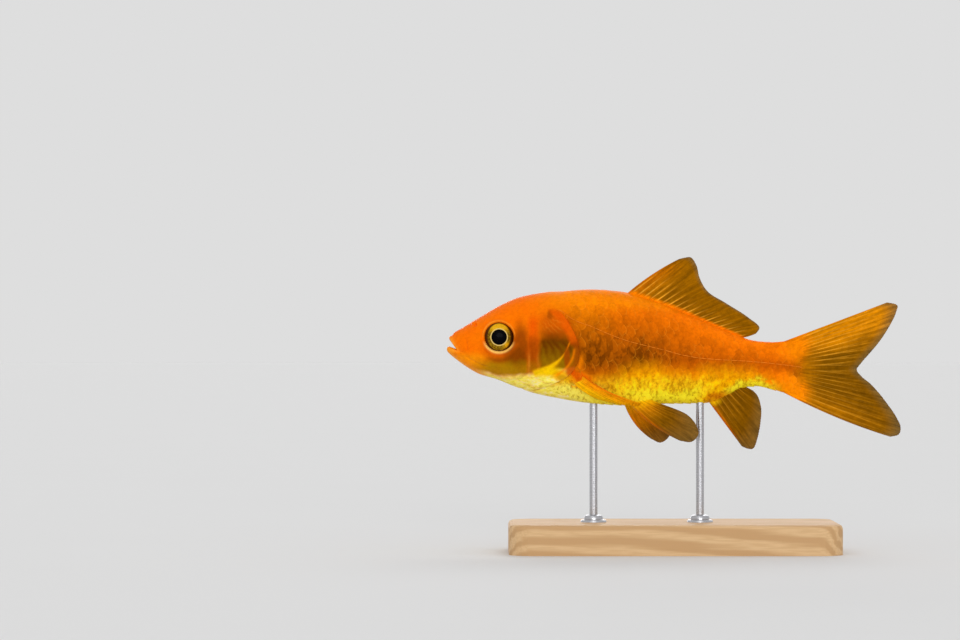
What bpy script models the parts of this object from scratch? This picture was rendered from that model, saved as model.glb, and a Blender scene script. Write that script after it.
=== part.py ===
"""Young goldfish, life size and still, held level on a plain display stand.

Sizes are in millimetres and become metres where a mesh is made. The fish has a frame of its own: u runs back
from the snout tip, v rises from the level of the mouth, and y is across, with the fish's left side at -y.
World +X points to the tail and the origin is under the middle of the whole, at the foot of the stand.
"""

import math
from bisect import bisect_right

import bmesh
import bpy
from mathutils import Vector

MM = 0.001
GAP = 0.3  # left between two solids that meet

# Where the fish hangs over the stand.
SNOUT_X = -45.3
MOUTH_Z = 41.4

# Outline of the body, as (u, v) along the back and along the belly.
BODY_END = 70.6
BACK = [(0.0, 0.6), (0.3, 1.35), (1.5, 2.5), (3.2, 3.5), (5.0, 4.6), (7.5, 6.1), (10.6, 7.9), (14.6, 9.6),
        (18.6, 10.4), (23.0, 11.0), (28.6, 11.4), (34.6, 11.0), (40.6, 9.4), (46.6, 7.1), (52.6, 4.6),
        (58.8, 1.95), (62.0, 1.05), (65.0, 0.85), (68.0, 1.1), (BODY_END, 1.7)]
BELLY = [(0.0, -0.9), (0.3, -1.5), (1.2, -2.35), (3.2, -3.85), (6.2, -5.7), (10.1, -6.9), (13.3, -8.2),
         (17.0, -9.5), (20.4, -10.5), (24.0, -11.25), (28.6, -11.9), (34.6, -12.2), (40.6, -12.05),
         (46.6, -11.9), (51.0, -11.95), (53.2, -11.6), (55.6, -10.5), (58.8, -8.8), (61.6, -8.5),
         (64.6, -9.05), (67.6, -9.8), (BODY_END, -10.8)]
# Half the width of the body, and the level where it is widest.
HALF_WIDTH = [(0.0, 0.5), (0.3, 1.05), (1.2, 1.75), (3.2, 2.9), (6.2, 4.15), (10.6, 5.1), (15.0, 5.75),
              (20.0, 6.2), (26.0, 6.4), (33.0, 6.2), (40.0, 5.6), (47.0, 4.7), (54.0, 3.6), (60.0, 2.7),
              (66.0, 1.9), (BODY_END, 1.1)]
WIDEST = [(0.0, -0.2), (4.0, -0.4), (10.0, -0.2), (18.0, -0.6), (28.0, 0.0), (40.0, -0.6), (52.0, -2.6),
          (60.0, -3.4), (BODY_END, -4.4)]
# Fullness of a cross-section above and below its widest level: 2 is an ellipse, and more is boxier.
FULL_ABOVE = [(0.0, 2.0), (6.0, 2.25), (14.0, 2.2), (24.0, 1.95), (40.0, 1.8), (60.0, 1.8), (BODY_END, 1.9)]
FULL_BELOW = [(0.0, 2.0), (10.0, 2.0), (20.0, 2.1), (34.0, 2.2), (46.0, 2.05), (56.0, 1.8), (BODY_END, 1.9)]
BODY_RINGS = 44
BODY_SIDES = 36

# Where the body is parted, as (u, v) seen from the side.
GILL_LINE = [(18.6, 14.0), (20.4, 9.0), (23.4, 5.2), (25.4, 1.5), (26.0, -1.5), (25.5, -3.9), (23.9, -5.9),
             (20.5, -7.9), (16.5, -9.5), (14.0, -14.0)]
GILL_COVER_FRONT = [(30.0, 7.4), (22.4, 7.0), (18.7, 5.4), (16.7, 1.8), (16.4, -2.2), (17.6, -5.8),
                    (21.2, -7.8), (30.0, -9.4)]
GILL_COVER_INNER_Y = 3.3
MOUTH_CORNER = (2.3, -1.3)
JAW_LINE = [MOUTH_CORNER, (4.6, -2.9), (8.6, -4.6), (9.4, -9.5)]
MOUTH_MIDDLE = (0.45, 0.15)
UPPER_LIP_EDGE = [(-1.5, 1.05), (0.5, 0.75)]
LOWER_LIP_EDGE = [(0.4, -0.45), (-1.5, -0.35)]
UPPER_JAW_LINE = [(4.6, 6.0), (4.2, 2.6), (4.4, -0.5), (5.2, -3.0)]
TAIL_STEM_LINE = [(59.0, 14.0), (59.5, -3.5), (59.0, -14.0)]
# Limits outside the body, where a parting region closes.
AHEAD, ASTERN, ABOVE, BELOW, ACROSS = -4.0, 76.0, 14.0, -14.0, 12.0

# Eyes: an oblate ball on each side.
EYES = {"eye_left": -1, "eye_right": 1}
EYE_CENTRE = (10.4, 1.6)
EYE_Y = 4.0
EYE_RADIUS = 2.9
EYE_HALF_DEPTH = 1.8

# Fins: (u, y, v) points, front to back, of the root inside the body and of the free edge. The rays join them.
FIN_THICK = 0.6
DORSAL_ROOT = [(36.0, 0, 9.0), (39.5, 0, 8.4), (44.0, 0, 6.9), (49.0, 0, 5.0), (54.0, 0, 2.8), (58.8, 0, 1.2)]
DORSAL_EDGE = [(36.6, 0, 11.4), (42.4, 0, 15.4), (47.9, 0.1, 17.5), (49.8, 0.2, 16.2), (50.2, 0.3, 13.7),
               (52.8, 0.3, 10.4), (57.4, 0.1, 7.3), (62.6, -0.2, 3.2)]
ANAL_ROOT = [(51.9, 0, -10.6), (55.0, 0, -9.4), (58.9, 0, -7.4)]
ANAL_EDGE = [(53.2, 0, -13.0), (56.2, 0, -17.5), (60.0, 0.2, -20.5), (61.9, 0.3, -19.6), (62.6, 0.3, -14.5),
             (62.2, 0.1, -10.8), (60.6, 0, -9.0)]
TAIL_ROOT = [(67.4, 0, 0.2), (69.2, 0, -1.2), (69.4, 0, -4.8), (69.2, 0, -8.2), (67.4, 0, -9.2)]
TAIL_EDGE = [(88.6, 1.2, 8.5), (90.2, 1.2, 7.3), (88.7, 1.0, 4.4), (86.0, 0.8, 1.2), (83.2, 0.4, -2.0),
             (81.9, 0.1, -5.2), (83.7, 0.3, -8.2), (86.6, 0.6, -11.2), (89.2, 0.9, -14.3), (90.5, 1.1, -17.0),
             (89.2, 1.1, -18.2)]
# The paired fins are given for the left side. The right pelvic fin hangs a little steeper than the left.
PECTORAL_ROOT = [(26.2, -4.8, -5.2), (25.6, -4.5, -6.2), (24.9, -4.1, -7.2)]
PECTORAL_MIDDLE = [(31.6, -5.5, -9.1), (29.6, -5.4, -9.3), (27.6, -5.1, -9.2)]
PECTORAL_EDGE = [(38.7, -3.9, -11.6), (37.9, -3.3, -12.1), (35.4, -3.1, -12.0), (32.4, -3.6, -11.4),
                 (29.8, -4.0, -10.7)]
PELVIC_ROOT = [(35.9, -2.2, -10.9), (37.8, -2.3, -10.9), (40.2, -2.3, -10.7)]
PELVIC_LEFT_EDGE = [(44.4, -5.5, -17.9), (47.6, -6.6, -19.2), (49.5, -6.5, -17.6), (49.1, -5.4, -15.2),
                    (46.9, -3.9, -13.0), (43.8, -3.0, -12.2)]
PELVIC_RIGHT_EDGE = [(39.6, -4.9, -17.9), (42.5, -5.9, -19.3), (44.4, -5.9, -18.4), (45.6, -5.2, -16.4),
                     (45.2, -4.0, -14.0), (43.4, -3.0, -12.4)]

# Stand: a flat base and two rods, each let into a blind socket in the belly.
BASE_SIZE = (66.0, 32.0, 6.0)
BASE_CORNER = 5.0
BASE_CHAMFER = 0.8
ROD_RADIUS = 0.8
ROD_STATIONS = {"stand_rod_front": 29.3, "stand_rod_rear": 50.6}
ROD_DEPTH_IN_BODY = 3.5
ROD_SOCKET_GAP = 0.2

# Finishes: base colour, roughness, metallic.
FINISHES = {
    "skin": ((1.0, 0.24, 0.0, 1.0), 0.35, 0.15),
    "fin": ((0.55, 0.20, 0.01, 1.0), 0.45, 0.0),
    "eye": ((0.03, 0.025, 0.01, 1.0), 0.08, 0.0),
    "stand_wood": ((0.64, 0.39, 0.18, 1.0), 0.45, 0.0),
    "stand_steel": ((0.55, 0.55, 0.56, 1.0), 0.3, 1.0),
}


def clear_scene():
    for old in list(bpy.data.objects):
        bpy.data.objects.remove(old)


def collection(name):
    made = bpy.data.collections.new(name)
    bpy.context.scene.collection.children.link(made)
    return made


def finish(name):
    """The material of that name in FINISHES, made once."""
    if name in bpy.data.materials:
        return bpy.data.materials[name]
    colour, roughness, metallic = FINISHES[name]
    material = bpy.data.materials.new(name)
    material.use_nodes = True
    shader = material.node_tree.nodes["Principled BSDF"]
    shader.inputs["Base Color"].default_value = colour
    shader.inputs["Roughness"].default_value = roughness
    shader.inputs["Metallic"].default_value = metallic
    return material


def world(u, y, v):
    """A point of the fish's own frame in the world, in metres."""
    return Vector((u + SNOUT_X, y, v + MOUTH_Z)) * MM


def along(table, at):
    """The value at a station of a smooth curve through the table's pairs, which overshoots none of them."""
    stations = [row[0] for row in table]
    k = min(max(bisect_right(stations, at) - 1, 0), len(table) - 2)

    def rise(i):
        return (table[i + 1][1] - table[i][1]) / (table[i + 1][0] - table[i][0])

    def slope(i):
        if i == 0 or i == len(table) - 1:
            return rise(min(i, len(table) - 2))
        before, after = rise(i - 1), rise(i)
        return 0.0 if before * after <= 0 else 2 * before * after / (before + after)

    step = stations[k + 1] - stations[k]
    t = min(max((at - stations[k]) / step, 0.0), 1.0)
    return ((1 + 2 * t) * (1 - t) ** 2 * table[k][1] + t * (1 - t) ** 2 * step * slope(k)
            + t * t * (3 - 2 * t) * table[k + 1][1] + t * t * (t - 1) * step * slope(k + 1))


def smooth_line(points, share):
    """The point at that share, 0 to 1, of a Catmull-Rom curve through the points."""
    points = [Vector(p) for p in points]
    place = min(max(share, 0.0), 1.0) * (len(points) - 1)
    k = min(int(place), len(points) - 2)
    t = place - k
    first, last = 2 * points[0] - points[1], 2 * points[-1] - points[-2]
    a, b, c, d = ([first] + points + [last])[k:k + 4]
    return 0.5 * (2 * b + (c - a) * t + (2 * a - 5 * b + 4 * c - d) * t ** 2
                  + (3 * b - a - 3 * c + d) * t ** 3)


def mesh_object(name, bm, group, finish_name=None):
    bmesh.ops.recalc_face_normals(bm, faces=bm.faces)
    mesh = bpy.data.meshes.new(name)
    bm.to_mesh(mesh)
    bm.free()
    made = bpy.data.objects.new(name, mesh)
    group.objects.link(made)
    if finish_name:
        mesh.materials.append(finish(finish_name))
        mesh.shade_smooth()
        mesh.set_sharp_from_angle(angle=math.radians(40))
    else:
        made.hide_render = True
        made.display_type = "WIRE"
    return made


def body_point(u, angle, grow=0.0):
    """A point of the body's surface. The angle is 0 at the back and turns by the left side to the belly."""
    half, level = along(HALF_WIDTH, u) + grow, along(WIDEST, u)
    up, side = math.cos(angle), math.sin(angle)
    height = along(BACK, u) - level if up >= 0 else level - along(BELLY, u)
    power = 2 / along(FULL_ABOVE if up >= 0 else FULL_BELOW, u)
    y = -math.copysign(half * abs(side) ** power, side)
    v = level + math.copysign((height + grow) * abs(up) ** power, up)
    return y, v


def body_mesh(grow=0.0):
    """The whole body, snout to tail root, as a closed loft. grow stands it out on every side."""
    bm = bmesh.new()
    rings = []
    for k in range(BODY_RINGS + 1):
        u = BODY_END * (k / BODY_RINGS) ** 1.25
        shift = grow * (2 * k / BODY_RINGS - 1)
        points = [body_point(u, 2 * math.pi * j / BODY_SIDES, grow) for j in range(BODY_SIDES)]
        rings.append([bm.verts.new(world(u + shift, y, v)) for y, v in points])
    for near, far in zip(rings, rings[1:]):
        for j in range(BODY_SIDES):
            after = (j + 1) % BODY_SIDES
            bm.faces.new((near[j], near[after], far[after], far[j]))
    bm.faces.new(rings[0])
    bm.faces.new(rings[-1])
    return bm


def slab(name, outline, y_low, y_high, group):
    """A cutter: the closed side outline, as (u, v) points, carried across from y_low to y_high."""
    bm = bmesh.new()
    near = bm.faces.new([bm.verts.new(world(u, y_low, v)) for u, v in outline])
    moved = bmesh.ops.extrude_face_region(bm, geom=[near])["geom"]
    across = world(0, y_high, 0) - world(0, y_low, 0)
    bmesh.ops.translate(bm, vec=across, verts=[g for g in moved if isinstance(g, bmesh.types.BMVert)])
    return mesh_object(name, bm, group)


def side_line(points, steps=16, moved=0.0):
    """A smooth side line through the points, moved to its left by that much."""
    line = [smooth_line([(u, v, 0) for u, v in points], k / steps) for k in range(steps + 1)]
    shifted = []
    for k, point in enumerate(line):
        run = (line[min(k + 1, steps)] - line[max(k - 1, 0)]).normalized()
        shifted.append((point.x - run.y * moved, point.y + run.x * moved))
    return shifted


def boolean(target, cutter, operation):
    modifier = target.modifiers.new(f"{operation.lower()} {cutter.name}", "BOOLEAN")
    modifier.operation = operation
    modifier.object = cutter


def parting_cutters(group):
    """The side regions that part the body. Each has a kept form and a wider one, which leaves the gap."""
    made = {}

    def region(name, outline, y_low=-ACROSS, y_high=ACROSS):
        made[name] = slab("cut_" + name, outline, y_low, y_high, group)

    for key, widen in (("", 0.0), ("_wide", GAP)):
        gill = side_line(GILL_LINE, moved=widen)
        region("head" + key, gill + [(AHEAD, BELOW), (AHEAD, ABOVE)])
        cover = side_line(GILL_COVER_FRONT, steps=28, moved=-widen)
        inner = GILL_COVER_INNER_Y - widen
        region("cover_left" + key, cover, -ACROSS, -inner)
        region("cover_right" + key, cover, inner, ACROSS)
        jaw = side_line(JAW_LINE, steps=8, moved=widen)
        jaw[0] = (MOUTH_CORNER[0] + widen, MOUTH_CORNER[1] + widen)
        region("jaw" + key, jaw + [(AHEAD, JAW_LINE[-1][1]), (AHEAD, MOUTH_MIDDLE[1]), MOUTH_MIDDLE])
        snout = side_line(UPPER_JAW_LINE, steps=6, moved=widen)
        region("snout" + key, snout + [(AHEAD, UPPER_JAW_LINE[-1][1]), (AHEAD, UPPER_JAW_LINE[0][1])])
        stem = side_line(TAIL_STEM_LINE, steps=6, moved=-widen)
        region("stem" + key, stem + [(ASTERN, BELOW), (ASTERN, ABOVE)])
    region("gape", UPPER_LIP_EDGE + [MOUTH_CORNER] + LOWER_LIP_EDGE)
    return made


def eye_ball(name, side, group, grow=0.0, finish_name=None):
    bm = bmesh.new()
    bmesh.ops.create_uvsphere(bm, u_segments=20, v_segments=10, radius=1.0)
    radius, depth = (EYE_RADIUS + grow) * MM, (EYE_HALF_DEPTH + grow) * MM
    bmesh.ops.scale(bm, vec=(radius, radius, depth), verts=bm.verts)
    bmesh.ops.rotate(bm, matrix=Vector((0, 0, 1)).rotation_difference((0, 1, 0)).to_matrix(), verts=bm.verts)
    bmesh.ops.translate(bm, vec=world(EYE_CENTRE[0], side * EYE_Y, EYE_CENTRE[1]), verts=bm.verts)
    return mesh_object(name, bm, group, finish_name)


def flesh(parts, cutters):
    """Head, jaws, gill covers, trunk and tail stem: one body, parted where a fish's parts meet."""
    cuts = parting_cutters(cutters)
    sockets = [eye_ball("cut_" + name, side, cutters, grow=GAP) for name, side in EYES.items()]
    keep, drop = "INTERSECT", "DIFFERENCE"
    recipes = {
        "trunk": [(drop, "head_wide"), (drop, "stem_wide")],
        "tail_stem": [(keep, "stem")],
        "head": [(keep, "head"), (drop, "cover_left_wide"), (drop, "cover_right_wide"), (drop, "jaw_wide"),
                 (drop, "gape"), (drop, "snout_wide")],
        "jaw_upper": [(keep, "snout"), (drop, "jaw_wide"), (drop, "gape")],
        "jaw_lower": [(keep, "jaw"), (drop, "gape")],
        "gill_cover_left": [(keep, "head"), (keep, "cover_left")],
        "gill_cover_right": [(keep, "head"), (keep, "cover_right")],
    }
    for name, steps in recipes.items():
        made = mesh_object(name, body_mesh(), parts, "skin")
        for operation, cut in steps:
            boolean(made, cuts[cut], operation)
        if name == "head":
            for socket in sockets:
                boolean(made, socket, drop)
    for name, side in EYES.items():
        eye_ball(name, side, parts, finish_name="eye")


def fin(name, lines, rays, steps, parts, trim, mirrored=False):
    """A fan of rays from the root line to the free edge, as a thin plate trimmed clear of the body."""
    side = -1 if mirrored else 1
    bm = bmesh.new()
    grid = []
    for j in range(rays + 1):
        stations = [smooth_line(line, j / rays) for line in lines]
        ray = [smooth_line(stations, i / steps) for i in range(steps + 1)]
        grid.append([bm.verts.new(world(p.x, side * p.y, p.z)) for p in ray])
    for near, far in zip(grid, grid[1:]):
        for i in range(steps):
            bm.faces.new((near[i], near[i + 1], far[i + 1], far[i]))
    made = mesh_object(name, bm, parts, "fin")
    plate = made.modifiers.new("plate", "SOLIDIFY")
    plate.thickness = FIN_THICK * MM
    plate.offset = 0.0
    plate.use_even_offset = True
    boolean(made, trim, "DIFFERENCE")


def fins(parts, cutters):
    trim = mesh_object("cut_body", body_mesh(grow=GAP), cutters)
    fin("fin_dorsal", [DORSAL_ROOT, DORSAL_EDGE], 22, 5, parts, trim)
    fin("fin_anal", [ANAL_ROOT, ANAL_EDGE], 14, 5, parts, trim)
    fin("fin_tail", [TAIL_ROOT, TAIL_EDGE], 26, 7, parts, trim)
    pectoral = [PECTORAL_ROOT, PECTORAL_MIDDLE, PECTORAL_EDGE]
    fin("fin_pectoral_left", pectoral, 10, 8, parts, trim)
    fin("fin_pectoral_right", pectoral, 10, 8, parts, trim, mirrored=True)
    fin("fin_pelvic_left", [PELVIC_ROOT, PELVIC_LEFT_EDGE], 10, 5, parts, trim)
    fin("fin_pelvic_right", [PELVIC_ROOT, PELVIC_RIGHT_EDGE], 10, 5, parts, trim, mirrored=True)


def stand(parts, cutters):
    height = BASE_SIZE[2]
    bm = bmesh.new()
    bmesh.ops.create_cube(bm, size=1.0)
    bmesh.ops.scale(bm, vec=Vector(BASE_SIZE) * MM, verts=bm.verts)
    bmesh.ops.translate(bm, vec=(0, 0, height / 2 * MM), verts=bm.verts)
    upright = [e for e in bm.edges if abs(e.verts[0].co.z - e.verts[1].co.z) > MM]
    bmesh.ops.bevel(bm, geom=upright, offset=BASE_CORNER * MM, segments=6, profile=0.5, affect="EDGES")
    rim = [e for e in bm.edges if min(v.co.z for v in e.verts) > (height - 0.01) * MM]
    bmesh.ops.bevel(bm, geom=rim, offset=BASE_CHAMFER * MM, segments=2, profile=0.5, affect="EDGES")
    base = mesh_object("stand_base", bm, parts, "stand_wood")
    trunk = bpy.data.objects["trunk"]
    for name, u in ROD_STATIONS.items():
        top = along(BELLY, u) + ROD_DEPTH_IN_BODY
        foot = height / 2 - MOUTH_Z
        rod(name, u, foot, top, ROD_RADIUS, parts, "stand_steel")
        socket = rod("cut_" + name, u, foot - GAP, top + GAP, ROD_RADIUS + ROD_SOCKET_GAP, cutters)
        boolean(base, socket, "DIFFERENCE")
        boolean(trunk, socket, "DIFFERENCE")


def rod(name, u, low, high, radius, group, finish_name=None):
    """An upright cylinder at a station of the fish, between two levels."""
    bm = bmesh.new()
    bmesh.ops.create_cone(bm, cap_ends=True, segments=20, radius1=radius * MM, radius2=radius * MM,
                          depth=(high - low) * MM)
    bmesh.ops.translate(bm, vec=world(u, 0, (low + high) / 2), verts=bm.verts)
    return mesh_object(name, bm, group, finish_name)


def main():
    clear_scene()
    parts = collection("goldfish")
    cutters = collection("cutters")
    flesh(parts, cutters)
    fins(parts, cutters)
    stand(parts, cutters)


main()
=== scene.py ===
"""Looks of a life-size display model of a young goldfish, made round its packed solids.

Inside the shape functions a point is (u, y, v) in millimetres, in the fish's own frame: u runs back from the
snout tip, v rises from the level of the mouth, and y is across, with the fish's left side at -y.
"""

import math

import bmesh
import bpy
import numpy as np
from bpy.props import FloatProperty, FloatVectorProperty, IntProperty, PointerProperty
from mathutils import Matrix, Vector

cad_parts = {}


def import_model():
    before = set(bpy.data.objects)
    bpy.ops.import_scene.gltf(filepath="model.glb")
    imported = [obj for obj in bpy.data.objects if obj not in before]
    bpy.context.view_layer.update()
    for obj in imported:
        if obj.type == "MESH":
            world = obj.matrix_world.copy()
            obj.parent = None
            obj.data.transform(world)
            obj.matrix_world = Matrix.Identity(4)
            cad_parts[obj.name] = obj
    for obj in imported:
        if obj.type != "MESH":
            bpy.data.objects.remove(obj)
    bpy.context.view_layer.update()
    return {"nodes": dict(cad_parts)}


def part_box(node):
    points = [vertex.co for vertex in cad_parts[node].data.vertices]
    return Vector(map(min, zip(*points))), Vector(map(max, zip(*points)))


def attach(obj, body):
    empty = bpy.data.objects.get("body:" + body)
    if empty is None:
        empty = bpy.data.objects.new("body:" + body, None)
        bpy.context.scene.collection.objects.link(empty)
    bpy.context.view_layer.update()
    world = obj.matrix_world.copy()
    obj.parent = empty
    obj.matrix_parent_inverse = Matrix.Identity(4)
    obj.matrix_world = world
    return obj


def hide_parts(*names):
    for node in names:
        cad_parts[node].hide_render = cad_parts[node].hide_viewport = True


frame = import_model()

bl_info = {
    "name": "Goldfish display model",
    "version": (1, 0, 0),
    "blender": (4, 5, 0),
    "location": "View3D > Sidebar > Goldfish",
    "description": "Skin, scales, fins, eyes and stand of a life-size goldfish",
    "category": "Add Mesh",
}

MM = 0.001
BODY = "root"
SIDES = {"left": -1, "right": 1}

# Outline of the body from the side, as (u, v), and half its width, as in the solids. Behind the tail's root
# the flesh thins out between the fin's two faces.
BACK = [(0.0, 0.6), (0.3, 1.35), (1.5, 2.5), (3.2, 3.5), (5.0, 4.6), (7.5, 6.1), (10.6, 7.9), (14.6, 9.6),
        (18.6, 10.4), (23.0, 11.0), (28.6, 11.4), (34.6, 11.0), (40.6, 9.4), (46.6, 7.1), (52.6, 4.6),
        (58.8, 1.95), (62.0, 1.05), (65.0, 0.85), (68.0, 1.1), (70.6, 1.7), (74.0, 2.8)]
BELLY = [(0.0, -0.9), (0.3, -1.5), (1.2, -2.35), (3.2, -3.85), (6.2, -5.7), (10.1, -6.9), (13.3, -8.2),
         (17.0, -9.5), (20.4, -10.5), (24.0, -11.25), (28.6, -11.9), (34.6, -12.2), (40.6, -12.05),
         (46.6, -11.9), (51.0, -11.95), (53.2, -11.6), (55.6, -10.5), (58.8, -8.8), (61.6, -8.5),
         (64.6, -9.05), (67.6, -9.8), (70.6, -10.8), (74.0, -12.1)]
HALF_WIDTH = [(0.0, 0.5), (0.3, 1.05), (1.2, 1.75), (3.2, 2.9), (6.2, 4.15), (10.6, 5.1), (15.0, 5.75),
              (20.0, 6.2), (26.0, 6.4), (33.0, 6.2), (40.0, 5.6), (47.0, 4.7), (54.0, 3.6), (60.0, 2.7),
              (66.0, 1.8), (68.2, 1.15), (69.6, 0.66), (70.8, 0.28), (71.8, 0.1), (74.0, 0.02)]
# Level of the greatest width, and the powers of the curves over and under it, 2 for an ellipse, by u.
WIDEST = [(0.0, -0.2), (4.0, -0.4), (10.0, -0.2), (18.0, -0.6), (28.0, 0.0), (40.0, -0.6), (52.0, -2.6),
          (60.0, -3.4), (74.0, -4.6)]
FULL_ABOVE = [(0.0, 2.0), (6.0, 2.25), (14.0, 2.2), (24.0, 1.95), (40.0, 1.8), (60.0, 1.8), (74.0, 1.9)]
FULL_BELOW = [(0.0, 2.0), (10.0, 2.0), (20.0, 2.1), (34.0, 2.2), (46.0, 2.05), (56.0, 1.8), (74.0, 1.9)]
# The sides close up from THIN_FROM to the end of the skin.
THIN_FROM = 70.2
SKIN_END = 72.6

SNOUT_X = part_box("jaw_lower")[0].x / MM
MOUTH_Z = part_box("trunk")[1].z / MM - max(v for u, v in BACK)
EYE_CENTRE = (10.4, 1.6)
NOSTRIL = (5.6, 4.05)

# Rings of the mouth, from its blind end out over the lips: station, then (u, v) at the top, (u, y, v) at the
# corner and (u, v) at the bottom.
LIP_RINGS = [
    (-4.0, (4.0, -0.8), (4.1, 0.25, -1.0), (4.0, -1.2)),
    (-2.4, (2.6, -0.25), (2.95, 0.9, -0.95), (2.4, -1.1)),
    (-1.2, (1.4, 0.3), (2.5, 1.35, -0.98), (1.05, -0.6)),
    (-0.5, (0.8, 0.72), (2.2, 1.6, -0.98), (0.4, -0.27)),
    (0.0, (0.48, 1.12), (2.0, 1.85, -1.03), (0.0, -0.55)),
    (0.5, (0.48, 1.62), (2.15, 2.15, -1.15), (0.04, -1.22)),
    (1.0, (0.95, 1.9), (2.7, 2.4, -1.32), (0.5, -1.75)),
]
# Rings of the face behind the lips: station, then u at the top, the corner and the bottom. The plain surface
# takes over at FACE_END, and the corner of the mouth lies at its own angle from the back.
FACE_RINGS = [(1.7, 1.5, 3.5, 1.15), (3.0, 2.8, 4.3, 2.5), (4.6, 4.5, 5.3, 4.4), (6.5, 6.5, 6.5, 6.5),
              (8.5, 8.5, 8.5, 8.5)]
FACE_END = 6.5
CORNER_ANGLE = math.radians(108)

# Lines on the head, as (u, v) seen from the side.
GILL_LINE = [(18.6, 14.0), (20.4, 9.0), (23.4, 5.2), (25.4, 1.5), (26.0, -1.5), (25.5, -3.9), (23.9, -5.9),
             (20.5, -7.9), (16.5, -9.5), (14.0, -14.0)]
CHEEK_EDGE = [(17.3, 6.4), (16.7, 3.2), (16.5, -0.5), (16.8, -3.6), (15.8, -5.9), (12.6, -6.9), (9.4, -6.3)]
COVER_SEAM = [(24.6, 0.9), (23.6, -1.4), (21.9, -3.5), (19.2, -5.3), (17.2, -6.0)]
COVER_FOLD = [(25.3, -0.4), (24.9, -2.6), (23.6, -4.6), (21.2, -6.4)]
JAW_FOLD = [(2.9, -1.75), (4.8, -3.0), (6.8, -4.0), (9.0, -4.7)]
LIP_FOLD = [(3.4, 1.9), (3.8, 0.6), (3.9, -0.6), (3.4, -1.6)]
SIDE_LINE = [(22.6, 7.0), (25.5, 5.0), (29.0, 3.6), (32.2, 2.2), (36.4, 0.7), (39.6, -0.1), (43.6, -1.1),
             (46.6, -1.9), (50.6, -2.6), (55.0, -2.95), (59.0, -3.15), (66.0, -3.8), (74.0, -4.9)]

# The fold of the gill cover's hind edge: signed distance behind the gill line on the plain surface, then
# where that point goes along the surface and how high it stands.
GILL_FOLD = [(-1.4, -1.4, 0.0), (-0.6, -0.45, 0.07), (-0.2, 0.1, 0.06), (0.0, 0.28, -0.04),
             (0.15, 0.2, -0.17), (0.35, -0.25, -0.26), (0.5, -0.42, -0.38), (0.65, -0.25, -0.52),
             (1.0, 0.45, -0.5), (2.0, 1.85, -0.28), (3.8, 3.8, 0.0)]


def tint(red, green, blue):
    """A colour given as 0 to 255 on a screen, in the linear values that shaders take."""
    return tuple((c / 12.92 if c <= 0.04045 else ((c + 0.055) / 1.055) ** 2.4)
                 for c in (red / 255, green / 255, blue / 255))


def colour(name, red, green, blue):
    return FloatVectorProperty(name=name, description=f"{name} colour", subtype="COLOR", size=3, min=0.0,
                               max=1.0, default=tint(red, green, blue))


def number(name, description, value, low=0.0, high=20.0, unit="NONE"):
    return FloatProperty(name=name, description=description, default=value, min=low, max=high, unit=unit)


class GoldfishSkin(bpy.types.PropertyGroup):
    """Colours of the skin, shared by the scales, and the depth of the coat of scales over it."""
    coat_depth: number("Coat depth", "How far the skin lies inside the outline, in mm", 0.28)
    back: colour("Back", 250, 134, 3)
    face: colour("Face", 252, 118, 3)
    rust: colour("Rusty flank", 208, 90, 3)
    # A painted dark reflection, laid along the side line.
    dusk: colour("Dusky flank", 146, 76, 3)
    gold: colour("Gold flank", 250, 180, 3)
    belly: colour("Belly", 255, 236, 40)
    chest: colour("Chest", 255, 240, 96)
    jaw: colour("Lower jaw", 252, 150, 10)
    olive: colour("Olive cheek", 172, 128, 6)
    # Painted shade, laid behind and below the eye, on the red-orange bar, on the gill cover, in the gap
    # between its folds, at its edge's foot and close behind that edge.
    shade: colour("Shade behind the eye", 160, 70, 3)
    blush: colour("Red-orange of the gill cover's edges", 236, 92, 3)
    # A painted dark reflection on the gill cover's patch; the same colour is also laid lightly on the cheek
    # behind and below the eye.
    cover: colour("Dark patch of the gill cover", 104, 52, 1)
    wedge: colour("Yellow of the gill cover", 255, 208, 6)
    root: colour("Root of the tail fin", 176, 108, 3)
    # The lips' colour, also laid as pale lines on the head and as a painted highlight on the rim above the
    # eye and along the chin's lower edge.
    lip: colour("Lips", 253, 164, 46)
    mouth: colour("Inside of the mouth", 110, 44, 16)
    # Painted shade in the groove round the eye.
    orbit: colour("Groove round the eye", 104, 38, 3)
    # A painted reflection on the rim under the eye; the same colour is also laid over the throat.
    rim: colour("Pale rim under the eye", 255, 204, 104)
    side_line: colour("Side line", 250, 146, 44)


class GoldfishScales(bpy.types.PropertyGroup):
    """Size and lie of the scales."""
    seed: IntProperty(name="Seed", description="Picks the small differences between scales", default=11)
    length: number("Length", "Length of a scale, in spacings along its row", 2.1)
    height: number("Height", "Height of a scale, in spacings between rows", 1.66)
    lift: number("Lift", "How high the hind edge stands over the skin, in mm", 0.17)
    thickness: number("Thickness", "Thickness of a scale, in mm", 0.05)


class GoldfishFins(bpy.types.PropertyGroup):
    """Thickness and colours of the fins."""
    web: number("Web", "Half the thickness of the web between the rays, in mm", 0.07)
    ray: number("Ray", "How high a ray stands over the web at its root, in mm", 0.15)
    olive: colour("Olive web", 128, 80, 1)
    amber: colour("Amber web", 232, 142, 3)
    gold: colour("Golden web", 250, 164, 6)
    bright: colour("Bright ray", 252, 174, 48)
    sun: colour("Yellow web of the pectoral fins", 252, 194, 8)
    smoke: colour("Free edge", 120, 96, 50)
    blush: colour("Front edge", 236, 104, 4)


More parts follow.
